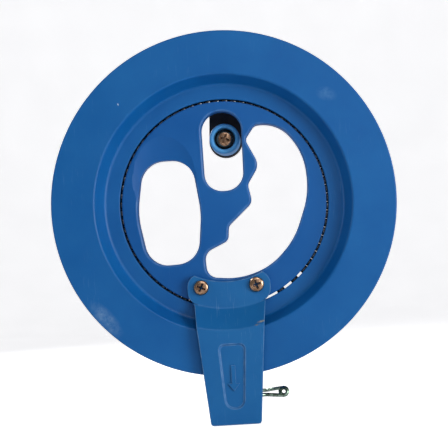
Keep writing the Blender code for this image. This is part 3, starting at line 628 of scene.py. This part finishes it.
rearRim = turnProfile("rearRim", closedLoop(wheelProfile(1)), wheel["steps"])
lugs = [makeLug(hinge["lugInner"], hinge["lugOuter"])]
lugs += [makeLug(-hinge["lugOuter"], -hinge["lugInner"])]
bosses = [makeBoss(x, z) for x, z in screwPlaces()]
combine(rearRim, bosses + lugs, "UNION")
cleanMesh(rearRim)
rearRim.data.transform(wheelPlace)
finishPiece(rearRim, "wheel", ["rear_rim"], rimBlue, 30)

drumNear = frontPlane + wheel["flangeRoot"] + gap
drumFar = rearPlane - wheel["flangeRoot"] - gap
drumInner = wheel["drumRadius"] - wheel["drumWall"]
drumCorners = [(wheel["drumRadius"], drumNear, 0.4), (wheel["drumRadius"], drumFar, 0.4)]
drumCorners += [(drumInner, drumFar, 0.3), (drumInner, drumNear, 0.3)]
drumSide = closedLoop(roundedOutline(drumCorners, 0.3))
drum = turnProfile("drumRing", drumSide, wheel["steps"], wheelPlace)
finishPiece(drum, "wheel", ["drum_ring"], rimBlue, 30)
print("wheel made")


# Grip disc

grip = {
    "edgeProud": 0.2,  # narrows the gap that the balls show in
    "edgeRound": 0.6,
    "holeRound": 1.1,
    "palmHole": [
        (-46.3, -3.0, 45.0), (-41.3, -31.0, 12.5), (-15.3, -30.2, 12.5),
        (-12.4, -4.0, 50.0), (-16.0, 24.6, 12.5), (-41.8, 24.6, 13.0),
    ],
    "crankSlot": [(-9.9, 48.6, 10.3), (11.6, 48.6, 10.3), (10.9, 6.6, 9.7), (-9.6, 6.6, 9.7)],
    "fingerHole": [
        (18.2, 40.3, 3.5), (13.0, 33.2, 3.5), (19.6, 19.5, 7.0), (13.0, 9.5, 4.0),
        (14.8, -0.2, 5.0), (1.6, -12.0, 4.0), (0.9, -19.6, 4.0), (-12.0, -25.4, 6.0),
        (-11.3, -38.2, 6.0), (6.0, -40.0, 38.0), (22.6, -34.5, 34.0), (35.9, -20.9, 42.0),
        (44.8, 3.0, 44.0), (43.4, 24.4, 33.0), (30.6, 41.1, 18.5),
    ],
    "scoopPlace": (-30.5, -6.3, 14.0),  # an oval dip beside the palm hole
    "scoopSize": (24.0, 9.0, 33.0),
}


def makeGripDisc():
    edge = discRadius + grip["edgeProud"]
    centre = (wheel["ballCircle"], racePlane)
    reach = math.acos((wheel["ballCircle"] - edge) / wheel["grooveRadius"])
    race = arcPoints(centre, wheel["grooveRadius"], math.pi + reach, math.pi - reach, 12)
    corners = [(0, 0, 0), (edge, 0, grip["edgeRound"])] + [(r, d, 0) for r, d in race]
    corners += [(edge, discThickness, grip["edgeRound"]), (0, discThickness, 0)]
    disc = turnProfile("gripDisc", roundedOutline(corners, 0.3), wheel["steps"])
    holes = [drawPrism(key, roundedOutline(grip[key]), -2, discThickness + 2)
             for key in ("palmHole", "crankSlot", "fingerHole")]
    combine(disc, holes, "DIFFERENCE")
    roundEdges(disc, grip["holeRound"], 3)
    deselectAll()
    bpy.ops.mesh.primitive_uv_sphere_add(segments=96, ring_count=64, radius=mm)
    scoop = namePiece("scoop")
    x, depth, z = grip["scoopPlace"]
    scoop.data.transform(moved(x, depth, z) @ Matrix.Diagonal((*grip["scoopSize"], 1.0)))
    combine(disc, [scoop], "DIFFERENCE")
    cleanMesh(disc)
    disc.data.transform(gripPlace)
    return disc


gripDisc = makeGripDisc()
finishPiece(gripDisc, "grip", ["grip_disc"], gripBlue, 30)
print("grip disc made")


# Ball race

balls = {
    "diameter": 4.5,
    "count": 72,
    "play": 0.04,
    "start": -43.0,
    "spare": (0.19, 0.31, 0.50),  # shares of the spare room after each of the first balls
    "roll": (1.7, 0.9),  # turns each ball so that no two show the same stains
}


def makeBalls():
    radius = wheel["ballCircle"]
    deselectAll()
    bpy.ops.mesh.primitive_uv_sphere_add(segments=16, ring_count=10,
                                         radius=balls["diameter"] / 2 * mm)
    first = namePiece("ballRow")
    pitch = 2 * math.asin((balls["diameter"] + balls["play"]) / 2 / radius)
    spare = 2 * math.pi - pitch * balls["count"]
    angle = math.radians(balls["start"])
    rollX, rollZ = balls["roll"]
    row = []
    for index in range(balls["count"]):
        spot = moved(radius * math.cos(angle), racePlane, radius * math.sin(angle))
        roll = Matrix.Rotation(index * rollX, 4, "X") @ Matrix.Rotation(index * rollZ, 4, "Z")
        row.append(copyPiece(first, "ball", gripPlace @ spot @ roll))
        angle -= pitch
        if index < len(balls["spare"]):
            angle -= spare * balls["spare"][index]
    bpy.data.objects.remove(first, do_unlink=True)
    activate(row[0])
    for ball in row:
        ball.select_set(True)
    bpy.ops.object.join()
    return namePiece("ballRow")


ballRow = makeBalls()
finishPiece(ballRow, "ball_row", ["race_balls"], ballPaintedShade, 60)
print("balls made")


# Guide arm

arm = {
    "thickness": 3.5,
    "end": rimRadius + 24.9,
    "endHalfWidth": 13.0,
    "endRound": 1.6,
    "rootHalfWidth": 18.7,
    "rootDrop": discRadius - 2.8,
    "topRadius": discRadius - 12.6,
    "runningGap": 1.7,
    "stepStart": discRadius + 0.6,
    "stepEnd": wheel["mouthRadius"] - 2.0,
    "stepShift": 0.8,  # the front bends sit this much further out than the back ones
    "stepRound": 2.2,
    "spareLength": 26,  # turned past the end, then trimmed
    "lobeRadius": 7.3,
    "lobeShare": 0.97,
    "screwX": 14.5,
    "screwDrop": discRadius - 10.1,
    "edgeRound": 0.45,
    "panelDepth": 1.1,
    "panelNarrow": (0.86, 0.94),
    "panel": [(-7.6, -72.7, 3.0), (7.6, -72.7, 3.0), (5.2, -107.0, 4.8), (-5.2, -107.0, 4.8)],
    "arrowFace": 0.25,  # how far the raised arrow stays below the face
    "arrowFoot": 1.2,
    "arrowRound": 0.15,
    "arrow": [
        (0.0, -97.5), (3.1, -93.6), (1.1, -93.6), (1.1, -84.2),
        (-1.1, -84.2), (-1.1, -93.6), (-3.1, -93.6),
    ],
}
armBackLow = frontPlane - arm["runningGap"]
armFaceLow = armBackLow - arm["thickness"]
armFaceHigh = -gap - arm["thickness"]


def armStrip():
    # the arm's side view turned round the wheel's axis, to be trimmed to its outline
    far, bend = arm["end"] + arm["spareLength"], arm["stepRound"]
    corners = [(arm["topRadius"], -gap, 0), (arm["stepStart"], -gap, bend)]
    corners += [(arm["stepEnd"], armBackLow, bend), (far, armBackLow, 0), (far, armFaceLow, 0)]
    corners += [(arm["stepEnd"] + arm["stepShift"], armFaceLow, bend)]
    corners += [(arm["stepStart"] + arm["stepShift"], armFaceHigh, bend)]
    corners += [(arm["topRadius"], armFaceHigh, 0)]
    return turnProfile("guideArm", closedLoop(roundedOutline(corners, 0.4)), wheel["steps"])


def makeGuideArm():
    strip = armStrip()
    lobeX = arm["screwX"] + arm["lobeRadius"]
    top = -arm["screwDrop"] + arm["lobeRadius"]
    low = -arm["screwDrop"] - arm["lobeRadius"]
    lobe = arm["lobeRadius"] * arm["lobeShare"]
    right = [(arm["rootHalfWidth"], -arm["rootDrop"] - 1, 1.0)]
    right += [(lobeX, low, lobe), (lobeX, top, lobe)]
    left = [(-x, z, radius) for x, z, radius in reversed(right)]
    ends = [(x, -arm["end"], arm["endRound"]) for x in (-arm["endHalfWidth"], arm["endHalfWidth"])]
    outline = drawPrism("armOutline", roundedOutline(ends + right + left, 0.6), armFaceLow - 3, 1)
    combine(strip, [outline], "INTERSECT")
    near, far = armFaceLow - arm["panelDepth"], armFaceLow + arm["panelDepth"]
    panelOutline = roundedOutline(arm["panel"], 0.6)
    panel = drawPrism("panel", panelOutline, near, far, narrow=arm["panelNarrow"])
    combine(strip, [panel], "DIFFERENCE")
    roundEdges(strip, arm["edgeRound"], 3)
    near, far = armFaceLow + arm["arrowFace"], armFaceLow + arm["arrowFoot"]
    arrow = drawPrism("arrow", arm["arrow"], near, far)
    combine(strip, [roundEdges(arrow, arm["arrowRound"], 2)], "UNION")
    cleanMesh(strip)
    strip.data.transform(gripPlace)
    return strip


guideArm = makeGuideArm()
finishPiece(guideArm, "grip", ["guide_arm"], armBlue, 18)
print("guide arm made")


# Screws

screws = {
    "guide": {"shank": 2.0, "head": 3.95, "height": 2.0, "slot": 0.3, "reach": 0.66},
    "knob": {"shank": 1.5, "head": 4.5, "height": 1.9, "slot": 0.24, "reach": 0.62},
    "small": {"shank": 1.5, "head": 2.6, "height": 1.7, "slot": 0.26, "reach": 0.68},
    "lengths": {"guide": 9.9, "rim": 12.3, "bracket": 4.2, "knob": 9.7},
    # shares of the head's radius and height, from its middle to its rim
    "crown": [(0, 1), (0.4, 0.99), (0.7, 0.93), (0.87, 0.78), (0.95, 0.45), (1, 0.2)],
    "crossDepth": 0.3,
    "crossNarrow": (0.6, 0.6),
    "edgeRound": 0.07,
    "steps": 48,
    "armTurns": (("left", -1, 28.0), ("right", 1, -17.0)),
    "bracketX": (-3.3, 4.5),
    "bracketSeat": -9.0,
    "bracketDrop": rimRadius + 11.0,
    "anchorReach": 1.8,
}


def makeScrew(name, kind, length):
    # drawn with its seat at depth 0, the crossed head in front and the shank behind
    size = screws[kind]
    head, height, shank = size["head"], size["height"], size["shank"]
    side = [(head * out, -height * up) for out, up in screws["crown"]]
    side += [(head * 0.99, -0.06), (head * 0.95, 0), (shank, 0), (shank, length - shank)]
    side += [(shank * 0.4, length - 0.2), (0, length)]
    screw = turnProfile(name, side, screws["steps"])
    thin, wide = head * size["slot"] / 2, head * size["reach"]
    half = [(thin, wide), (thin, thin), (wide, thin), (wide, -thin), (thin, -thin), (thin, -wide)]
    cross = half + [(-x, -z) for x, z in half]
    recess = drawPrism("cross", cross, -height - 0.8, screws["crossDepth"],
                       narrow=screws["crossNarrow"])
    combine(screw, [recess], "DIFFERENCE")
    return roundEdges(screw, screws["edgeRound"], 1, 50)


def placeScrew(screw, name, place, body, node, finish):
    return finishPiece(copyPiece(screw, name, place), body, [node], finish, 40)


guideScrew = makeScrew("guideScrew", "guide", screws["lengths"]["guide"])
for name, side, turn in screws["armTurns"]:
    place = gripPlace @ moved(side * arm["screwX"], armFaceHigh - gap, -arm["screwDrop"], turn)
    placeScrew(guideScrew, f"armScrew.{name}", place, "grip", f"guide_arm_screw_{name}",
               bronzeScrew)
smallScrew = makeScrew("smallScrew", "small", screws["lengths"]["rim"])
for number, (x, z) in enumerate(screwPlaces(), 1):
    place = wheelPlace @ facingBack(x, rearLedge + gap, z, number * 37.0)
    placeScrew(smallScrew, f"rimScrew.{number}", place, "wheel", f"rim_screw_{number}",
               pinSteel)
bracketScrew = makeScrew("bracketScrew", "small", screws["lengths"]["bracket"])
for number, x in enumerate(screws["bracketX"], 1):
    place = gripPlace @ facingBack(x, screws["bracketSeat"], -screws["bracketDrop"], number * 25.0)
    placeScrew(bracketScrew, f"bracketScrew.{number}", place, "grip",
               f"guide_bracket_screw_{number}", pinSteel)
anchorLength = wheel["drumWall"] + gap + screws["anchorReach"]
anchorScrew = makeScrew("anchorScrew", "small", anchorLength)
anchorPlace = wheelPlace @ moved(0, (frontPlane + rearPlane) / 2, 0, -wheel["anchorAngle"])
anchorPlace @= Matrix.Rotation(math.radians(-90), 4, "Z")
place = anchorPlace @ facingBack(0, wheel["drumRadius"] + gap, 0)
placeScrew(anchorScrew, "lineAnchorScrew", place, "wheel", "line_anchor_screw",
           pinSteel)


# Crank, hinge and knob

crank = {
    "halfWidth": 9.0,
    "orbit": hinge["radius"] - 23.0,
    "front": rearPlane - 5.5,
    "back": rearPlane - 0.5,
    "knuckle": 3.6,
    "post": 4.0,
    "edgeRound": 0.9,
    "panelEdge": 2.6,
    "panelDepth": 0.9,
    "panelNarrow": (0.9, 0.95),
}
knob = {
    "radius": 8.1,
    "recess": 5.7,
    "face": discThickness + 0.8,
    "recessDepth": 4.6,
    "bore": 4.3,
    "washer": 0.8,
    "washerHole": 1.8,
    "screwTurn": 17.0,
}
postEnd = knob["face"] + knob["recessDepth"] - gap


def makeCrank():
    half, top, low = crank["halfWidth"], hinge["radius"], crank["orbit"]
    front, back = crank["front"], crank["back"]
    outline = [(half, top), (-half, top)] + arcPoints((0, low), half, math.pi, 2 * math.pi, 40)
    bar = roundEdges(drawPrism("crankArm", outline, front, back), crank["edgeRound"], 4, 50)
    panelX, panelTop, panelLow = half - crank["panelEdge"], top - crank["knuckle"] - 2.0, low - 5.0
    panel = [(panelX, panelTop, 1.5), (-panelX, panelTop, 1.5)]
    panel += [(-panelX, panelLow, 4.6), (panelX, panelLow, 4.6)]
    recess = drawPrism("recess", roundedOutline(panel, 0.5), back + 1, back - crank["panelDepth"],
                       narrow=crank["panelNarrow"])
    combine(bar, [recess], "DIFFERENCE")
    knuckleSide = [(0, -half), (crank["knuckle"] - 0.5, -half), (crank["knuckle"], -half + 0.5)]
    knuckleSide += [(r, -d) for r, d in reversed(knuckleSide)]
    knuckle = turnProfile("knuckle", knuckleSide, 48, alongX(0, top, hinge["depth"]))
    postFoot = back - 3
    postSide = [(0, postEnd), (crank["post"] - 0.3, postEnd), (crank["post"], postEnd + 0.3)]
    postSide += [(crank["post"], postFoot), (0, postFoot)]
    post = turnProfile("post", postSide, 48, moved(0, 0, low))
    combine(bar, [knuckle, post], "UNION")
    combine(bar, [drillHole(hinge["pinRadius"] + gap)], "DIFFERENCE")
    cleanMesh(bar)
    bar.data.transform(wheelPlace)
    return bar


crankArm = makeCrank()
finishPiece(crankArm, "crank", ["crank_arm"], crankBlack, 30)

shoulder = knob["face"] + knob["recessDepth"]
sleeveBack = crank["front"] - gap
sleeve = [(knob["recess"], knob["face"], 0.8), (knob["radius"], knob["face"], 1.3)]
sleeve += [(knob["radius"], sleeveBack, 0.8), (knob["bore"], sleeveBack, 0.4)]
sleeve += [(knob["bore"], shoulder, 0.2), (knob["recess"], shoulder, 0.4)]
knobPlace = wheelPlace @ moved(0, 0, crank["orbit"])
knobSleeve = turnProfile("knobSleeve", closedLoop(roundedOutline(sleeve, 0.2)), 96, knobPlace)
finishPiece(knobSleeve, "knob", ["knob_sleeve"], knobPaintedLight, 30)
washerBack = postEnd - gap
washerFront = washerBack - knob["washer"]
washerEdge = knob["recess"] - 0.4
washer = [(knob["washerHole"], washerFront, 0.15), (washerEdge, washerFront, 0.25)]
washer += [(washerEdge, washerBack, 0.25), (knob["washerHole"], washerBack, 0.15)]
knobWasher = turnProfile("knobWasher", closedLoop(roundedOutline(washer, 0.1)), 64, knobPlace)
finishPiece(knobWasher, "crank", ["knob_washer"], washerPaintedShade, 40)
knobScrew = makeScrew("knobScrew", "knob", screws["lengths"]["knob"])
place = knobPlace @ moved(0, washerFront - gap, 0, knob["screwTurn"])
placeScrew(knobScrew, "knobScrewSet", place, "crank", "knob_screw", bronzeScrew)

hingePlace = wheelPlace @ alongX(0, hinge["radius"], hinge["depth"])
clipNear = hinge["lugOuter"] + gap
clipFar = clipNear + hinge["clip"]
headTop = -clipNear - hinge["headHeight"]
pinEnd = clipFar + gap + 0.8
pinRadius, headRadius = hinge["pinRadius"], hinge["headRadius"]
pinSide = [(0, headTop), (headRadius * 0.6, headTop), (headRadius * 0.88, headTop + 0.25)]
pinSide += [(headRadius, headTop + 0.65), (headRadius, -clipNear), (pinRadius, -clipNear)]
pinSide += [(pinRadius, pinEnd - 0.3), (pinRadius - 0.3, pinEnd), (0, pinEnd)]
hingePin = turnProfile("hingePin", pinSide, 48, hingePlace)
finishPiece(hingePin, "wheel", ["hinge_pin"], pinSteel, 40)


def makeRing(name, inner, outer, near, far, node):
    side = [(inner, near, 0.12), (outer, near, 0.2), (outer, far, 0.2), (inner, far, 0.12)]
    ring = turnProfile(name, closedLoop(roundedOutline(side, 0.1)), 48, hingePlace)
    return finishPiece(ring, "wheel", [node], pinSteel, 40)


ringHole = pinRadius + gap
washerRim = crank["knuckle"] - 0.2
near = crank["halfWidth"] + gap
far = near + hinge["washer"]
makeRing("hingePinClip", ringHole, headRadius + gap, clipNear, clipFar, "hinge_pin_clip")
makeRing("hingeWasher.left", ringHole, washerRim, -far, -near, "hinge_washer_left")
makeRing("hingeWasher.right", ringHole, washerRim, near, far, "hinge_washer_right")
print("crank, hinge and knob made")


# Line guide and its bracket

guide = {
    "drop": rimRadius + 11.0,
    "wire": 1.0,
    "near": frontPlane + 5.0,
    "far": rearPlane - 5.0,
    "leg": [(-12.5, 0, 0), (0, 0, 0), (10, 0, 0), (16, 2.6, -0.2)],  # depths from the near side
    "lead": (19.5, -7.48, -1.045),  # depth from the middle, just before the eye
    "routeSteps": 8,
    "eyeX": 25.0,
    "eyeRadius": 1.9,
    "eyeTurns": 1.5,
    "coilSteps": 48,
    "coilGap": 0.3,
}
bracket = {
    "plate": (-12.5, -7.5),
    "foot": 7.5,
    "footDepth": (armBackLow + 0.3, armBackLow + 2.9),
    "back": 32.0,
    "height": 7.0,
    "edgeRound": 0.5,
}


def smoothRoute(points, steps):
    # a Catmull-Rom curve through the points
    route = []
    padded = [points[0] * 2 - points[1]] + points + [points[-1] * 2 - points[-2]]
    for a, b, c, d in zip(padded, padded[1:], padded[2:], padded[3:]):
        for i in range(steps):
            t = i / steps
            route.append(0.5 * (2 * b + (c - a) * t + (2 * a - 5 * b + 4 * c - d) * t * t
                                + (3 * b - a - 3 * c + d) * t ** 3))
    return route + [points[-1]]


def wireRoute():
    # out along one leg, round the eye, and back along the other leg, which mirrors the first
    middle = (guide["near"] + guide["far"]) / 2
    leg = [Vector((x, guide["near"] + depth, z)) for x, depth, z in guide["leg"]]
    x, depth, z = guide["lead"]
    leg.append(Vector((x, middle + depth, z)))
    radius, turns = guide["eyeRadius"], guide["eyeTurns"]
    pitch = 2 * guide["wire"] + guide["coilGap"]
    coil = []
    for i in range(guide["coilSteps"] + 1):
        share = i / guide["coilSteps"]
        angle = -math.pi / 2 + 2 * math.pi * turns * share
        depth = middle + pitch * turns * (share - 0.5)
        x = guide["eyeX"] + radius * math.cos(angle)
        coil.append(Vector((x, depth, radius * math.sin(angle))))
    lead = smoothRoute(leg + coil[:1], guide["routeSteps"])[:-1]
    tail = [Vector((p.x, 2 * middle - p.y, -p.z)) for p in reversed(lead)]
    return lead + coil + tail


def makeLineGuide():
    route = wireRoute()
    deselectAll()
    bpy.ops.curve.primitive_nurbs_path_add(radius=mm)
    wire = bpy.context.object
    wire.data.splines.clear()
    line = wire.data.splines.new("POLY")
    line.points.add(len(route) - 1)
    for point, place in zip(line.points, route):
        point.co = (place.x * mm, place.y * mm, (place.z - guide["drop"]) * mm, 1)
    wire.data.dimensions = "3D"
    wire.data.bevel_depth = guide["wire"] * mm
    wire.data.bevel_resolution = 4
    wire.data.use_fill_caps = True
    activate(wire)
    bpy.ops.object.convert(target="MESH")
    made = namePiece("lineGuide")
    made.data.transform(gripPlace)
    return made


lineGuide = makeLineGuide()
finishPiece(lineGuide, "grip", ["line_guide"], guideWire, 50)


def makeBracket():
    left, right = bracket["plate"]
    footFront, footBack = bracket["footDepth"]
    side = [(left, footFront, 0.4), (bracket["foot"], footFront, 0.4)]
    side += [(bracket["foot"], footBack, 0.9), (right, footBack, 1.2)]
    side += [(right, bracket["back"], 1.5), (left, bracket["back"], 1.5)]
    upright = Matrix(((1, 0, 0, 0), (0, 0, 1, 0), (0, 1, 0, 0), (0, 0, 0, 1)))
    low = -guide["drop"] - bracket["height"] / 2
    outline = roundedOutline(side, 0.4)
    made = drawPrism("guideBracket", outline, low, low + bracket["height"], upright)
    roundEdges(made, bracket["edgeRound"], 3, 50)
    made.data.transform(gripPlace)
    return made


guideBracket = makeBracket()
finishPiece(guideBracket, "grip", ["guide_bracket"], armBlue, 30)
for master in (guideScrew, smallScrew, bracketScrew, anchorScrew, knobScrew):
    bpy.data.objects.remove(master, do_unlink=True)
print("line guide and bracket made")


# Floor, light and camera

studio = {
    "sweepRadius": 900.0,
    "halfWidth": 4000.0,
    "near": -2500.0,
    "back": 1600.0,
    "height": 3200.0,
    "floorGap": 0.2,
    "glow": 0.8,  # only for the camera: the sheet looks white and throws no extra light
    "sky": 0.9,  # only for the camera
    "air": 0.12,
    "panelAim": (0, 0, -10),
    "panels": {  # place, watts and size
        "keyPanel": ((740, -580, 40), 7.0, 480),
        "topPanel": ((120, -700, 640), 1.8, 460),
        "leftPanel": ((-880, -260, 180), 1.5, 500),
        "frontPanel": ((260, -1300, 330), 0.9, 420),
        "backPanel": ((-620, 760, 420), 7.0, 420),
    },
    "camera": (35.0, -870.0, -40.0),
    "aim": (-0.2, -20.5, -11.2),
    "up": 3.6,  # degrees that the object stands turned
    "lens": 131.7,
}


def makeSweep():
    floor = cadLow[2] / mm - studio["floorGap"]
    radius, left = studio["sweepRadius"], -studio["halfWidth"]
    side = [(left, studio["near"], floor)]
    for angle in [math.radians(-90 + 6 * i) for i in range(16)]:
        side.append((left, studio["back"] + radius * math.cos(angle),
                     floor + radius + radius * math.sin(angle)))
    side.append((left, studio["back"] + radius, floor + studio["height"]))
    sheet = drawLine("sweep", side)
    across = (2 * studio["halfWidth"] * mm, 0, 0)
    bpy.ops.mesh.extrude_region_move(TRANSFORM_OT_translate={"value": across})
    bpy.ops.object.mode_set(mode="OBJECT")
    sheet.data.materials.append(paintedCard())
    smooth(sheet, 60)


def paintedCard():
    # Painted card: matt and all but white, with a faint cloudiness.
    made, tree, shader = newMaterial("paintedCardWhite")
    place = addNode(tree, "ShaderNodeTexCoord").outputs["Object"]
    grain = addNode(tree, "ShaderNodeTexNoise", {"Scale": perMetre(60), "Detail": 3.0},
                    {"Vector": place})
    tone = addNode(tree, "ShaderNodeValToRGB",
                   {"stops": [(0.3, linearColour("#f6f6f8")), (0.7, linearColour("#fafafc"))]},
                   {"Fac": grain.outputs["Fac"]})
    tree.links.new(tone.outputs["Color"], shader.inputs["Base Color"])
    tree.links.new(tone.outputs["Color"], shader.inputs["Emission Color"])
    seen = addNode(tree, "ShaderNodeLightPath").outputs["Is Camera Ray"]
    glow = addNode(tree, "ShaderNodeMath", {"operation": "MULTIPLY", 1: studio["glow"]}, {0: seen})
    tree.links.new(glow.outputs["Value"], shader.inputs["Emission Strength"])
    shader.inputs["Roughness"].default_value = 0.9
    return made


def addPanel(name, place, power, size):
    light = bpy.data.lights.new(name, "AREA")
    light.energy = power
    light.size = size * mm
    lamp = bpy.data.objects.new(name, light)
    bpy.context.scene.collection.objects.link(lamp)
    lamp.location = Vector(place) * mm
    away = Vector(place) - Vector(studio["panelAim"])
    lamp.rotation_euler = away.to_track_quat("Z", "Y").to_euler()


def makeWorld():
    world = bpy.data.worlds.new("studioAir")
    world.use_nodes = True
    air = world.node_tree.nodes["Background"]
    seen = addNode(world.node_tree, "ShaderNodeLightPath").outputs["Is Camera Ray"]
    level = addNode(world.node_tree, "ShaderNodeMath",
                    {"operation": "MULTIPLY_ADD", 1: studio["sky"], 2: studio["air"]}, {0: seen})
    world.node_tree.links.new(level.outputs["Value"], air.inputs["Strength"])
    air.inputs["Color"].default_value = (1.0, 1.0, 1.0, 1.0)
    bpy.context.scene.world = world


def makeCamera():
    data = bpy.data.cameras.new("camera")
    data.lens = studio["lens"]
    data.sensor_width = 36.0
    data.clip_end = 20.0
    camera = bpy.data.objects.new("camera", data)
    bpy.context.scene.collection.objects.link(camera)
    turnUp = math.radians(studio["up"])
    back = (Vector(studio["camera"]) - Vector(studio["aim"])).normalized()
    across = Vector((math.sin(turnUp), 0, math.cos(turnUp))).cross(back).normalized()
    above = back.cross(across)
    facing = Matrix((across, above, back)).transposed().to_4x4()
    camera.matrix_world = Matrix.Translation(Vector(studio["camera"]) * mm) @ facing
    bpy.context.scene.camera = camera


makeSweep()
for name, (place, power, size) in studio["panels"].items():
    addPanel(name, place, power, size)
makeWorld()
bpy.context.scene.view_settings.view_transform = "Standard"
makeCamera()
print("stage, lights and camera set")
